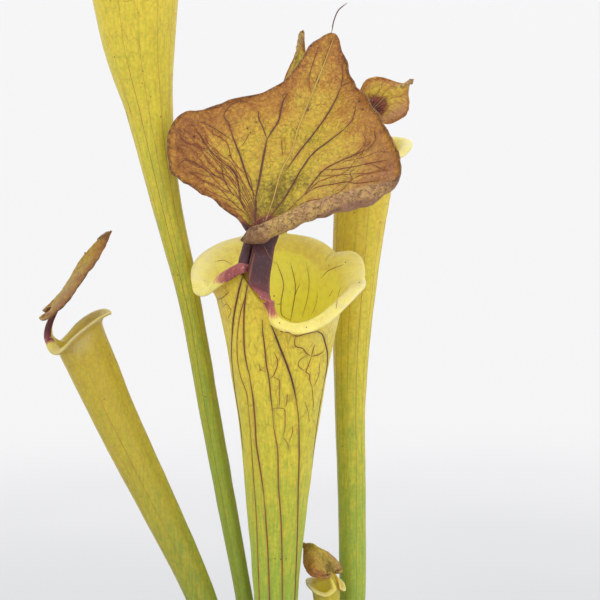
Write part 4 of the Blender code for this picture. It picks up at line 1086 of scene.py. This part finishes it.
def noise_node(tree, place, scale, detail=3.0, roughness=0.55):
    """A cloud of noise at a scale per metre."""
    inputs = {"Vector": place, "Scale": scale, "Detail": detail, "Roughness": roughness}
    return node(tree, "TexNoise", inputs).outputs["Fac"]


def kept(tree, name):
    """A value kept at the points of a piece."""
    return node(tree, "Attribute", attribute_name=name).outputs["Fac"]


def stretch(tree, place, scales):
    """Places scaled apart along each axis."""
    return node(tree, "Mapping", {"Vector": place, "Scale": scales}).outputs["Vector"]


def bumped(tree, height, strength, distance):
    """Fine relief in the shading."""
    inputs = {"Height": height, "Strength": strength, "Distance": distance}
    return node(tree, "Bump", inputs).outputs["Normal"]


def dress(tree, shader, inputs):
    """Links or sets the inputs of a material's shader."""
    for name, value in inputs.items():
        plug(tree, value, shader.inputs[name])


def new_material(name):
    """A new material with its nodes, its shader and places on the object."""
    made = bpy.data.materials.new(name)
    made.use_nodes = True
    tree = made.node_tree
    tree.nodes.clear()
    shader = node(tree, "BsdfPrincipled")
    output = node(tree, "OutputMaterial")
    tree.links.new(shader.outputs["BSDF"], output.inputs["Surface"])
    place = node(tree, "TexCoord").outputs["Object"]
    return made, tree, shader, place


# Scales per metre of the patterns in leaf tissue, and the stretched scales of its streaks and nets.
BLOTCHES, PATCHES, GRAIN, MOTTLE = 75.0, 240.0, 800.0, 560.0
NET_PATCHES, CREAM_PATCHES, STAIN_CLOUDS = 190.0, 260.0, 360.0
FLECKS, DASHES, SPECKS, SPECK_PATCHES = 900.0, 760.0, 210.0, 90.0
STREAKS = (1100.0, 1100.0, 22.0)
NET_TALL = (300.0, 300.0, 110.0)
NET_EVEN = (420.0, 420.0, 420.0)

# Colours laid over the tissue, with a grey that is multiplied over a whole leaf as painted shade.
PINK_BLUSH, VEIN_HALO, CREAM = srgb(184, 138, 112), srgb(126, 70, 40), srgb(232, 218, 168)
PALE_FLECK, DARK_DASH, BROWN_SPECK = srgb(232, 214, 200), srgb(74, 50, 42), srgb(96, 58, 38)
PAINTED_SHADE_GREY, NET_RED, NET_BROWN = srgb(150, 146, 150), srgb(138, 74, 40), srgb(120, 76, 44)


def leaf_material(name, stops, stain_stops, net, texture, mottle, through, roughness, bumps):
    """Leaf tissue: a ramp of tones with blotches, streaks, net, stains, cream lip, dashes and specks."""
    made, tree, shader, place = new_material(name)
    value = {key: kept(tree, key) for key in VALUES}
    blotch = noise_node(tree, place, BLOTCHES, 4.0)
    patch = noise_node(tree, place, PATCHES, 4.0, 0.65)
    grain = noise_node(tree, place, GRAIN)
    streak = noise_node(tree, stretch(tree, place, STREAKS), 1.0, 2.0)
    tone = math_node(tree, "SUBTRACT", value["tone"], 0.5 * sum(texture))
    for cloud, share in zip((blotch, patch, grain, streak), texture):
        tone = math_node(tree, "MULTIPLY_ADD", cloud, share, tone)
    shade = map_range(tree, noise_node(tree, place, MOTTLE, 5.0, 0.72), 0.36, 0.62, *mottle)
    colour = mix(tree, 1.0, colour_ramp(tree, tone, stops), shade, "MULTIPLY")
    blush = times(tree, value["blush"], map_range(tree, patch, 0.35, 0.65, 0.25, 0.6))
    colour = mix(tree, blush, colour, PINK_BLUSH)

    net_colour, net_share, net_stretch = net
    stretched = stretch(tree, place, net_stretch)
    warp = node(tree, "TexNoise", {"Vector": stretched, "Scale": 0.9, "Detail": 1.0}).outputs["Color"]
    warped = node(tree, "VectorMath", {0: stretched, 1: warp}, operation="ADD").outputs["Vector"]
    cells = node(tree, "TexVoronoi", {"Vector": warped, "Scale": 1.0}, feature="DISTANCE_TO_EDGE")
    line = map_range(tree, cells.outputs["Distance"], 0.01, 0.11, 1.0, 0.0)
    patchy = map_range(tree, noise_node(tree, place, NET_PATCHES), 0.34, 0.62)
    shown = times(tree, times(tree, line, patchy), value["net"])
    colour = mix(tree, times(tree, shown, net_share), colour, net_colour)

    colour = mix(tree, times(tree, value["vein"], 0.4), colour, VEIN_HALO)
    cream_noise = map_range(tree, noise_node(tree, place, CREAM_PATCHES), 0.30, 0.70, 0.55, 1.0)
    cream = times(tree, value["cream"], cream_noise)
    colour = mix(tree, cream, colour, CREAM)

    cloud = noise_node(tree, place, STAIN_CLOUDS, 4.0)
    mottled = math_node(tree, "MULTIPLY_ADD", streak, 0.35, times(tree, cloud, 0.35))
    stain = math_node(tree, "ADD", value["stain"], math_node(tree, "SUBTRACT", mottled, 0.35))
    stain = times(tree, stain, map_range(tree, value["stain"], 0.0, 0.12))
    purple = map_range(tree, stain, 0.08, 0.42)
    colour = mix(tree, purple, colour, colour_ramp(tree, stain, stain_stops))
    fleck = map_range(tree, noise_node(tree, place, FLECKS), 0.60, 0.68)
    fleck = times(tree, fleck, map_range(tree, value["stain"], 0.2, 0.4))
    fleck = times(tree, fleck, map_range(tree, value["stain"], 0.5, 0.9, 0.5, 0.04))
    colour = mix(tree, fleck, colour, PALE_FLECK)

    dash = math_node(tree, "MULTIPLY_ADD", value["edge"], 0.3, noise_node(tree, place, DASHES, 4.0, 0.75))
    dash = map_range(tree, dash, 0.71, 0.8)
    dash = times(tree, dash, map_range(tree, value["edge"], 0.05, 0.3))
    colour = mix(tree, times(tree, dash, 0.7), colour, DARK_DASH)

    specks = node(tree, "TexVoronoi", {"Vector": place, "Scale": SPECKS}, feature="F1").outputs["Distance"]
    specks = map_range(tree, specks, 0.05, 0.12, 1.0, 0.0)
    sparse = map_range(tree, noise_node(tree, place, SPECK_PATCHES, 1.0), 0.55, 0.62)
    specks = times(tree, times(tree, specks, sparse), 0.75)
    colour = mix(tree, specks, colour, BROWN_SPECK)
    # Painted shade: the whole leaf's colour is darkened by a grey, standing in for the shade that it sits
    # in.
    colour = mix(tree, value["painted_shade"], colour, PAINTED_SHADE_GREY, "MULTIPLY")

    rough = map_range(tree, patch, 0.3, 0.7, roughness - 0.07, roughness + 0.09)
    height = math_node(tree, "MULTIPLY_ADD", patch, 0.9, times(tree, grain, 0.5))
    height = math_node(tree, "MULTIPLY_ADD", line, -0.18, height)
    dress(tree, shader, {
        "Base Color": colour, "Roughness": rough, "Specular IOR Level": 0.32,
        "Subsurface Weight": through, "Subsurface Radius": (1.0, 0.85, 0.25), "Subsurface Scale": 0.0022,
        "Normal": bumped(tree, height, bumps, 0.0009),
    })
    return made


def vein_material():
    """Raised veins, from pale yellow over red-brown to dark purple-brown."""
    made, tree, shader, place = new_material("vein")
    shade = kept(tree, "shade")
    shade = math_node(tree, "MULTIPLY_ADD", noise_node(tree, place, 160.0, 3.0), 0.3, shade)
    shade = math_node(tree, "SUBTRACT", shade, 0.15)
    dress(tree, shader, {
        "Base Color": colour_ramp(tree, shade, VEIN_STOPS), "Roughness": 0.5,
        "Subsurface Weight": 0.15, "Subsurface Radius": (1.0, 0.5, 0.3), "Subsurface Scale": 0.0006,
    })
    return made


# Tissue of the tube from green to ripe, inside and out, and of the hood from the neck to the margin.
# The tube's inside is its own yellow brightened by painted light, standing in for light through the wall.
TUBE_STOPS = screen_stops(
    (0, 134, 158, 64), (0.14, 144, 170, 64), (0.28, 164, 180, 62), (0.42, 204, 194, 64),
    (0.56, 228, 206, 70), (0.74, 218, 180, 74), (1, 184, 128, 62),
)
INNER_STOPS_PAINTED_BRIGHT = screen_stops(
    (0, 150, 150, 70), (0.25, 224, 208, 84), (0.48, 255, 244, 106), (0.62, 254, 238, 112),
    (0.78, 222, 200, 96), (1, 206, 172, 92),
)
HOOD_STOPS = screen_stops(
    (0, 106, 90, 28), (0.16, 138, 120, 36), (0.34, 204, 180, 62), (0.48, 204, 168, 64),
    (0.64, 188, 137, 58), (0.82, 166, 109, 54), (1, 116, 74, 50),
)
HOOD_INNER_STOPS = screen_stops(
    (0, 196, 172, 60), (0.3, 206, 176, 92), (0.5, 184, 146, 92), (0.75, 142, 106, 76), (1, 104, 78, 64),
)
# Colours of a stain from faint to strong, on the tube and on the hood.
RED_STAIN = screen_stops(
    (0, 228, 184, 140), (0.28, 198, 126, 112), (0.5, 156, 82, 84), (0.75, 110, 56, 62), (1, 74, 42, 48),
)
BROWN_STAIN = screen_stops(
    (0, 166, 128, 50), (0.28, 146, 98, 46), (0.5, 128, 70, 46), (0.75, 104, 50, 46), (1, 76, 42, 46),
)
VEIN_STOPS = screen_stops(
    (0, 205, 178, 84), (0.25, 186, 128, 62), (0.5, 140, 70, 36), (0.75, 104, 56, 36), (1, 66, 38, 34),
)
POT_STOPS = screen_stops((0.3, 40, 38, 37), (0.7, 54, 52, 50))
PEAT_STOPS = screen_stops((0, 34, 24, 17), (0.35, 62, 44, 30), (0.65, 92, 66, 44), (1, 128, 98, 66))
BARK_STOPS = screen_stops((0, 70, 46, 30), (0.5, 122, 84, 54), (1, 164, 124, 84))
PERLITE_STOPS = screen_stops((0, 196, 192, 182), (0.5, 224, 221, 213), (1, 240, 238, 232))
MOSS_STOPS = screen_stops((0, 66, 84, 30), (0.4, 108, 126, 42), (0.75, 150, 160, 66), (1, 186, 184, 104))
CROWN_STOPS = screen_stops((0, 52, 34, 20), (0.35, 98, 68, 40), (0.65, 140, 102, 62), (1, 176, 142, 92))
SHEATH_STOPS = screen_stops(
    (0, 104, 70, 44), (0.4, 150, 108, 70), (0.7, 190, 156, 104), (1, 214, 190, 142),
)

# Finishes of a leaf: name, tones, stain, net (colour, share and scale), shares of blotches, patches,
# grain and streaks, range of the mottle, light let through, roughness and strength of the bumps.
HOOD_TEXTURE = (0.55, 0.46, 0.42, 0.0)
FINISHES = (
    ("tube_outside", TUBE_STOPS, RED_STAIN, (NET_RED, 0.35, NET_TALL), (0.14, 0.14, 0.12, 0.42),
     (0.9, 1.05), 0.6, 0.45, 0.3),
    ("tube_inside", INNER_STOPS_PAINTED_BRIGHT, RED_STAIN, (NET_RED, 0.1, NET_TALL), (0.3, 0.25, 0.1, 0.1),
     (0.95, 1.0), 0.95, 0.4, 0.3),
    ("hood_outside", HOOD_STOPS, BROWN_STAIN, (NET_BROWN, 0.5, NET_EVEN), HOOD_TEXTURE,
     (0.78, 1.08), 0.4, 0.5, 1.0),
    ("hood_inside", HOOD_INNER_STOPS, BROWN_STAIN, (NET_BROWN, 0.5, NET_EVEN), HOOD_TEXTURE,
     (0.66, 1.1), 0.4, 0.5, 0.8),
)

# Random veins up a tube: first and last angle, number, share of its height that they reach, strength.
FRONT_TUBE_RUN = (122.0, 288.0, 8, 0.9, 1.0)
PLAIN_TUBE_RUN = (6.0, 342.0, 13, 0.97, 0.45)

# Random veins over a hood: the places across the neck where the main ones start, and their strength.
FRONT_HOOD_RUN = (np.concatenate([np.linspace(-0.96, -0.55, 9), np.linspace(0.42, 0.94, 7)]), 0.62)
PLAIN_HOOD_RUN = ((-0.88, -0.66, -0.44, -0.22, 0.22, 0.44, 0.66, 0.88), 0.5)


def leaf_veins(name, leaf, tree):
    """All veins of one leaf, laid on a surface."""
    rng = np.random.default_rng(leaf["seed"])
    if name == "pitcher_front":
        seen = grown_down(leaf, tree, seen_paths(tree, TUBE_VEINS), rng)
        spots = tuple((width, 1.0, x, y, x + 0.9, y + 0.7) for width, x, y in SPOTS)
        paths = seen + seen_paths(tree, HOOD_VEINS + MOUTH_VEINS + spots)
        paths += laid_paths(tree, hood_veins(leaf, rng, *FRONT_HOOD_RUN)[1:])
        return paths + laid_paths(tree, tube_veins(leaf, rng, *FRONT_TUBE_RUN))
    paths = laid_paths(tree, tube_veins(leaf, rng, *PLAIN_TUBE_RUN))
    return paths + laid_paths(tree, hood_veins(leaf, rng, *PLAIN_HOOD_RUN))


def make_leaves():
    """Each leaf's sheet with its relief, and its veins laid on it."""
    materials = [leaf_material(*finish) for finish in FINISHES]
    veins = vein_material()
    for name, leaf in LEAVES.items():
        sheet = Sheet(leaf["painted_shade"])
        angles, throat = add_tube(sheet, leaf)
        rows = add_neck_and_hood(sheet, leaf, throat)
        add_margin(sheet, leaf, margin_loop(leaf, angles, throat, rows))
        points = sheet.all_points()
        fine_name = name.replace("pitcher", "leaf")
        paths = leaf_veins(name, leaf, BVHTree.FromPolygons(points.tolist(), sheet.faces))
        moved = points + relief(sheet, leaf, nearness(points, paths, VALLEY_REACH * leaf["size"]))
        sheet.points = [moved]
        sheet.values = [np.vstack(sheet.values)]
        piece = sheet_object(fine_name, sheet, materials)
        paths = leaf_veins(name, leaf, surface_tree(piece))
        near = leaf["edging"] * nearness(moved, paths, 1.0 * leaf["size"] ** 0.5)
        piece.data.attributes["vein"].data.foreach_set("value", near.astype(np.float32))
        cords = vein_mesh(fine_name + "_veins", paths)
        cords.data.materials.append(veins)
        for thing in (piece, cords):
            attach(thing, "root")
        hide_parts(name)
        if name == "pitcher_front":
            make_thread(sheet, veins)


def make_thread(sheet, finish):
    """The dry thread at the hood's point, bent in the plane that faces the front view."""
    eye = np.array(CAMERA_PLACE) / MM
    points = sheet.all_points()
    tip = points[np.argmax(points[:, 2])]
    rays = np.array([tuple(view_ray(place)) for place in smooth_path(HOOD_THREAD, 1.2)])
    line = eye + rays * np.linalg.norm(tip - eye)
    line += np.linspace(1.0, 0.0, len(line))[:, None] ** 2 * (tip - line[0])
    path = [(Vector(point), Vector((0.0, -1.0, 0.2))) for point in line]
    thread = vein_mesh("leaf_front_thread", [(THREAD_WIDTH, THREAD_SHADE, path)])
    thread.data.materials.append(finish)
    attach(thread, "root")


def make_object(name, points, faces, finish, shades=None):
    """A piece of the pot, peat or crown, riding on the plant."""
    made = new_object(name, points, faces, shades)
    made.data.materials.append(finish)
    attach(made, "root")
    return made


def shaded_material(name, stops, scale, depth, roughness):
    """Rough matter whose tone is its own shade with noise over it."""
    made, tree, shader, place = new_material(name)
    shade = kept(tree, "shade")
    cloud = noise_node(tree, place, scale, 5.0, 0.65)
    tone = math_node(tree, "MULTIPLY_ADD", cloud, 0.8, shade)
    colour = colour_ramp(tree, math_node(tree, "SUBTRACT", tone, 0.4), stops)
    fine = noise_node(tree, place, scale * 3.0, 4.0, 0.7)
    dress(tree, shader, {
        "Base Color": colour, "Roughness": roughness, "Specular IOR Level": 0.25,
        "Normal": bumped(tree, fine, 0.8, depth),
    })
    return made


def pot_material():
    """Matt dark plastic with a fine grain, scuffs and dried peat dust low down and at the rim."""
    made, tree, shader, place = new_material("pot_plastic")
    height = node(tree, "SeparateXYZ", {"Vector": place}).outputs["Z"]
    cloud = noise_node(tree, place, 60.0, 5.0, 0.65)
    fine = noise_node(tree, place, 420.0, 4.0, 0.7)
    colour = colour_ramp(tree, cloud, POT_STOPS)
    low = map_range(tree, height, 0.0, 0.035, 0.75, 0.0)
    high = map_range(tree, height, 0.108, 0.124, 0.0, 0.45)
    dust = math_node(tree, "ADD", math_node(tree, "ADD", low, high), 0.06)
    dust = times(tree, dust, map_range(tree, times(tree, cloud, fine), 0.16, 0.4))
    colour = mix(tree, dust, colour, srgb(126, 108, 86))
    scuff = noise_node(tree, stretch(tree, place, (90.0, 90.0, 900.0)), 1.0)
    scuff = map_range(tree, scuff, 0.64, 0.74, 0.0, 0.35)
    colour = mix(tree, scuff, colour, srgb(104, 102, 100))
    rough = map_range(tree, fine, 0.3, 0.7, 0.42, 0.66)
    grain = noise_node(tree, place, 1800.0, 2.0)
    normal = bumped(tree, grain, 0.25, 0.0003)
    dress(tree, shader, {"Base Color": colour, "Roughness": rough, "Normal": normal})
    return made


def pot_inner_radius(height):
    """Radius of the pot's inner wall at a height over the underside."""
    share = (height - POT_FLOOR) / (POT_HEIGHT - POT_FLOOR)
    return POT_BASE_RADIUS + (POT_TOP_RADIUS - POT_BASE_RADIUS) * share - POT_WALL


SOIL_RADIUS = pot_inner_radius(SOIL_TOP) - SOIL_GAP - 0.4


def rounded(profile, radius):
    """A line of points with each inner corner turned into a short curve."""
    profile = np.asarray(profile, float)
    points = [profile[0]]
    for before, corner, after in zip(profile, profile[1:], profile[2:]):
        ends = []
        for end in (before, after):
            length = np.linalg.norm(end - corner)
            ends.append(corner + (end - corner) * min(radius, 0.4 * length) / length)
        for t in (0.0, 0.33, 0.67, 1.0):
            points.append(ends[0] * (1.0 - t) ** 2 + corner * 2.0 * t * (1.0 - t) + ends[1] * t**2)
    points.append(profile[-1])
    return np.array(points)


def turned(profile, steps):
    """Points and faces of a profile turned about the upright axis, from axis to axis."""
    turn = np.linspace(0.0, 2.0 * math.pi, steps, endpoint=False)
    points = [(0.0, 0.0, profile[0][1])]
    for radius, height in profile[1:-1]:
        level = np.full(steps, height)
        points.extend(np.column_stack([radius * np.cos(turn), radius * np.sin(turn), level]))
    points.append((0.0, 0.0, profile[-1][1]))
    faces = []
    rings = len(profile) - 2
    for j in range(steps):
        after = (j + 1) % steps
        faces.append((0, 1 + after, 1 + j))
        for k in range(rings - 1):
            low, high = 1 + k * steps, 1 + (k + 1) * steps
            faces.append((low + j, low + after, high + after, high + j))
        last = 1 + (rings - 1) * steps
        faces.append((last + j, last + after, len(points) - 1))
    return np.array(points, float), faces


def make_pot():
    """The turned pot with a stepped rim, two fine bands and round drain holes."""
    base, top, wall = POT_BASE_RADIUS, POT_TOP_RADIUS, POT_WALL
    rim_low = POT_HEIGHT - POT_RIM_DEPTH

    def outer(height):
        return base + (top - base) * height / POT_HEIGHT

    profile = [(0.0, 1.0), (base - 16.0, 1.0), (base - 14.0, 0.0), (base - 2.8, 0.0), (base - 0.8, 1.2)]
    profile += [(base + 0.8, 5.0)]
    for height in (30.0, 84.0):
        profile += [
            (outer(height), height), (outer(height) + 0.35, height + 0.7),
            (outer(height) + 0.35, height + 2.0), (outer(height + 2.7), height + 2.7),
        ]
    profile += [
        (outer(rim_low), rim_low - 2.0),
        (outer(rim_low) + 1.6, POT_HEIGHT - 9.5),
        (POT_RIM_RADIUS - 1.1 - wall, POT_HEIGHT - 6.0),
        (POT_RIM_RADIUS - 1.4 - wall, rim_low),
        (POT_RIM_RADIUS - 1.4, rim_low),
        (POT_RIM_RADIUS - 0.6, POT_HEIGHT - 4.0),
        (POT_RIM_RADIUS, POT_HEIGHT - 3.0),
        (POT_RIM_RADIUS, POT_HEIGHT - 0.9),
        (POT_RIM_RADIUS - 0.8, POT_HEIGHT),
        (top + 1.6, POT_HEIGHT),
        (top - wall + 0.4, POT_HEIGHT - 0.8),
        (pot_inner_radius(POT_FLOOR + 2.5), POT_FLOOR + 2.5),
        (pot_inner_radius(POT_FLOOR) - 2.0, POT_FLOOR),
        (0.0, POT_FLOOR),
    ]
    points, faces = turned(rounded(profile, 0.7), POT_STEPS)
    pot = make_object("pot_fine", points, faces, pot_material())
    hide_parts("pot")

    holes = bmesh.new()
    for k in range(DRAIN_HOLES):
        angle = 2.0 * math.pi * k / DRAIN_HOLES
        made = bmesh.ops.create_cone(
            holes, cap_ends=True, segments=32, depth=3.0 * POT_FLOOR * MM,
            radius1=DRAIN_HOLE_RADIUS * MM, radius2=DRAIN_HOLE_RADIUS * MM,
        )
        centre = Vector((math.cos(angle), math.sin(angle), 0.0)) * DRAIN_CIRCLE_RADIUS
        bmesh.ops.translate(holes, verts=made["verts"], vec=centre * MM)
    mesh = bpy.data.meshes.new("drain_holes")
    holes.to_mesh(mesh)
    holes.free()
    cutter = bpy.data.objects.new("drain_holes", mesh)
    bpy.context.scene.collection.objects.link(cutter)
    cut = pot.modifiers.new("holes", "BOOLEAN")
    cut.operation = "DIFFERENCE"
    cut.object = cutter
    graph = bpy.context.evaluated_depsgraph_get()
    plain = pot.data
    pot.data = bpy.data.meshes.new_from_object(pot.evaluated_get(graph))
    pot.modifiers.clear()
    bpy.data.objects.remove(cutter)
    bpy.data.meshes.remove(plain)


def soil_height(places):
    """Height of the peat's top at places across the pot."""
    share = 1.0 - np.minimum(np.hypot(places[:, 0], places[:, 1]) / SOIL_RADIUS, 1.0)
    at = np.column_stack([places, np.zeros(len(places))])
    rough = 1.2 * noise_at(at, 17.0, 3) + 0.8 * noise_at(at, 7.0, 4)
    crumbs = 0.5 * noise_at(at, 2.6, 5) + 0.3 * noise_at(at, 1.2, 6)
    return SOIL_TOP + 3.0 * ramp(share * 1.6) + rough + crumbs


def round_ball(subdivisions):
    """Points and faces of a ball with a radius of 1."""
    shape = bmesh.new()
    bmesh.ops.create_icosphere(shape, subdivisions=subdivisions, radius=1.0)
    points = np.array([tuple(vertex.co) for vertex in shape.verts])
    faces = np.array([[vertex.index for vertex in face.verts] for face in shape.faces])
    shape.free()
    return points, faces


def lumps(count, radius, size, flat, seed):
    """Small irregular lumps strewn over the peat: points, faces and shades."""
    rng = np.random.default_rng(seed)
    ball, sides = round_ball(1)
    angle = rng.uniform(0.0, 2.0 * math.pi, count)
    out = radius * np.sqrt(rng.uniform(0.0, 1.0, count))
    places = np.column_stack([out * np.cos(angle), out * np.sin(angle)])
    sizes = size * rng.lognormal(0.0, 0.45, count)
    heights = soil_height(places) + 0.25 * sizes * flat
    points, faces, shades = [], [], []
    for k in range(count):
        turn, _ = np.linalg.qr(rng.standard_normal((3, 3)))
        lump = ball * (1.0 + LUMP_ROUGHNESS * rng.standard_normal((len(ball), 1)))
        lump = lump * rng.uniform(0.6, 1.3, 3) * sizes[k] @ turn
        lump[:, 2] *= flat
        points.append(lump + [*places[k], heights[k]])
        faces.append(sides + k * len(ball))
        shades.append(np.full(len(ball), rng.uniform(0.0, 1.0)))
    return np.vstack(points), np.vstack(faces), np.concatenate(shades)


def moss(count, seed):
    """Tufts of small pointed moss leaves in cushions on the peat: points, faces and shades."""
    rng = np.random.default_rng(seed)
    limit = pot_inner_radius(SOIL_TOP) - 4.0
    cushions = rng.uniform(-1.0, 1.0, (MOSS_CUSHIONS, 2)) * limit
    points, faces, shades = [], [], []
    for k in range(count):
        place = cushions[k % len(cushions)] + rng.normal(0.0, MOSS_SPREAD, 2)
        if np.hypot(*place) > limit:
            place *= limit / np.hypot(*place)
        root = np.array([*place, soil_height(place[None])[0] - 0.3])
        shade = rng.uniform(0.2, 0.8)
        stem = rng.uniform(1.0, 3.2)
        for _ in range(MOSS_LEAVES):
            heading = rng.uniform(0.0, 2.0 * math.pi)
            lean = rng.uniform(0.3, 1.25)
            length = rng.uniform(1.3, 2.4)
            way = np.array([
                math.sin(lean) * math.cos(heading), math.sin(lean) * math.sin(heading), math.cos(lean)
            ])
            side = 0.22 * length * np.array([-math.sin(heading), math.cos(heading), 0.0])
            start = root + np.array([0.0, 0.0, stem * rng.uniform(0.2, 1.0)])
            first = len(points)
            middle = start + 0.45 * length * way + np.array([0.0, 0.0, 0.12 * length])
            points += [start, middle + side, start + length * way, middle - side]
            faces += [(first, first + 1, first + 2), (first, first + 2, first + 3)]
            shades += [shade, shade + 0.1, shade + 0.25, shade + 0.1]
    return np.array(points), faces, shades


def make_soil():
    """Peat with crumbs, perlite, bark chips and moss."""
    bottom = POT_FLOOR + SOIL_GAP
    low_radius = pot_inner_radius(bottom) - SOIL_GAP - 2.4
    knee = (pot_inner_radius(bottom + 2.6) - SOIL_GAP - 0.3, bottom + 2.6)
    profile = [(0.0, bottom), (low_radius, bottom), knee, (SOIL_RADIUS, SOIL_TOP - 2.0)]
    profile += [(SOIL_RADIUS * (1.0 - k / SOIL_RINGS), SOIL_TOP) for k in range(SOIL_RINGS)]
    profile += [(0.0, SOIL_TOP)]
    points, faces = turned(profile, SOIL_SIDES)
    top = points[:, 2] > SOIL_TOP - 1.0
    points[top, 2] = soil_height(points[top, :2])
    shade = 0.5 + 0.25 * noise_at(points, 3.0, 8)
    peat = shaded_material("peat", PEAT_STOPS, 300.0, 0.0008, 0.9)
    soil = make_object("peat_fine", points, faces, peat, shade)
    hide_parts("soil")
    reach = SOIL_RADIUS - 1.5
    for strewn, finish in (
        (PEAT_CRUMBS, peat),
        (BARK_CHIPS, shaded_material("bark", BARK_STOPS, 260.0, 0.0006, 0.85)),
        (PERLITE, shaded_material("perlite", PERLITE_STOPS, 500.0, 0.0006, 0.8)),
    ):
        name, count, size, flat, seed = strewn
        points, faces, shades = lumps(count, reach, size, flat, seed)
        make_object(name, points, faces, finish, shades)
    points, faces, shades = moss(MOSS_TUFTS, MOSS_SEED)
    green = shaded_material("moss", MOSS_STOPS, 240.0, 0.0003, 0.7)
    make_object("moss", points, faces, green, shades)


def make_crown():
    """The knotty rhizome with ringed scars, and dry sheaths round the foot of each leaf."""
    ball, faces = round_ball(6)
    way = np.array([tuple(Vector(point).normalized()) for point in ball])
    lump = np.array([noise.noise(Vector(tuple(row)) * 2.6 + Vector((3.1, 0.4, 7.7))) for row in way])
    points = way * np.array(CROWN_HALF_SIZE) * (1.0 + CROWN_LUMPS * lump)[:, None]
    along = points[:, 0] + 1.6 * noise_at(points, 6.0, 31)
    scars = 0.45 * np.sin(along * 1.5) + 0.5 * noise_at(points, 3.2, 32) + 0.25 * noise_at(points, 1.3, 33)
    outward = unit(way / np.array(CROWN_HALF_SIZE))
    points = points + (scars - 0.7)[:, None] * outward + np.array(CROWN_CENTRE)
    bark = shaded_material("crown_bark", CROWN_STOPS, 260.0, 0.0007, 0.8)
    crown = make_object("crown_fine", points, faces, bark, 0.5 + 0.3 * scars)
    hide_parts("crown")

    rng = np.random.default_rng(SHEATH_SEED)
    points, faces, shades = [], [], []
    columns, rows = SHEATH_COLUMNS, SHEATH_ROWS
    for leaf in LEAVES.values():
        for angle in rng.uniform(0.0, 360.0) + np.array(SHEATH_ANGLES):
            spread = rng.uniform(34.0, 52.0)
            tall = rng.uniform(11.0, 21.0)
            first = len(points)
            for row in range(rows):
                share = row / (rows - 1)
                half = spread * (1.0 - share) ** 0.7 + 1.0
                turn = angle + half * np.linspace(-1.0, 1.0, columns)
                level = np.full(columns, SHEATH_FOOT + tall * share)
                ring = tube_points(leaf, turn, level)
                middle = spine_frames(leaf, level)[0]
                outward = unit(ring - middle)
                bulge = 0.35 + 0.9 * (1.0 - share) + 1.6 * max(0.0, share - 0.75) ** 1.5 * 4.0
                points.extend(ring + outward * bulge)
                shades.extend([0.25 + 0.6 * share] * columns)
            for row in range(rows - 1):
                for column in range(columns - 1):
                    low = first + row * columns + column
                    faces.append((low, low + 1, low + columns + 1, low + columns))
    sheath = shaded_material("sheath", SHEATH_STOPS, 380.0, 0.0004, 0.65)
    sheaths = make_object("leaf_sheaths", points, faces, sheath, shades)
    wall = sheaths.modifiers.new("wall", "SOLIDIFY")
    wall.thickness = SHEATH_WALL * MM
    wall.offset = 1.0


def make_stage():
    """A wide pale floor with a painted soft shadow near the plant, soft light and the front view's camera.
    """
    bpy.ops.mesh.primitive_circle_add(
        vertices=96, radius=FLOOR_RADIUS, fill_type="NGON", location=(0.0, 0.0, -FLOOR_DROP),
    )
    floor = bpy.context.object
    floor.name = "floor"
    made, tree, shader, place = new_material("floor")
    # Painted shadow: the floor is painted darker towards the plant, standing in for the plant's soft
    # shadow.
    away = node(tree, "VectorMath", {0: place}, operation="LENGTH").outputs["Value"]
    away = math_node(tree, "MULTIPLY_ADD", noise_node(tree, place, 2.2, 2.0), 0.5, away)
    shade = map_range(tree, away, 0.75, 1.6)
    colour = mix(tree, shade, srgb(206, 207, 209), srgb(227, 227, 228))
    dress(tree, shader, {"Base Color": colour, "Roughness": 0.9, "Specular IOR Level": 0.1})
    floor.data.materials.append(made)

    world = bpy.data.worlds.new("studio")
    world.use_nodes = True
    background = world.node_tree.nodes["Background"]
    background.inputs["Color"].default_value = (1.0, 1.0, 1.0, 1.0)
    background.inputs["Strength"].default_value = SKY_STRENGTH
    bpy.context.scene.world = world

    for name, place, strength in SUNS:
        light = bpy.data.lights.new(name, "SUN")
        light.energy = strength
        light.angle = math.radians(SUN_SPREAD)
        lamp = bpy.data.objects.new(name, light)
        lamp.location = place
        lamp.rotation_euler = (-Vector(place)).to_track_quat("-Z", "Y").to_euler()
        bpy.context.scene.collection.objects.link(lamp)

    camera_data = bpy.data.cameras.new("camera")
    camera_data.lens = CAMERA_LENS
    camera_data.sensor_width = CAMERA_SENSOR
    camera = bpy.data.objects.new("camera", camera_data)
    camera.location = CAMERA_PLACE
    camera.rotation_euler = (math.radians(CAMERA_TILT), 0.0, 0.0)
    bpy.context.scene.collection.objects.link(camera)
    bpy.context.scene.camera = camera
    bpy.context.scene.view_settings.view_transform = "Standard"


make_stage()
make_pot()
make_soil()
make_crown()
make_leaves()
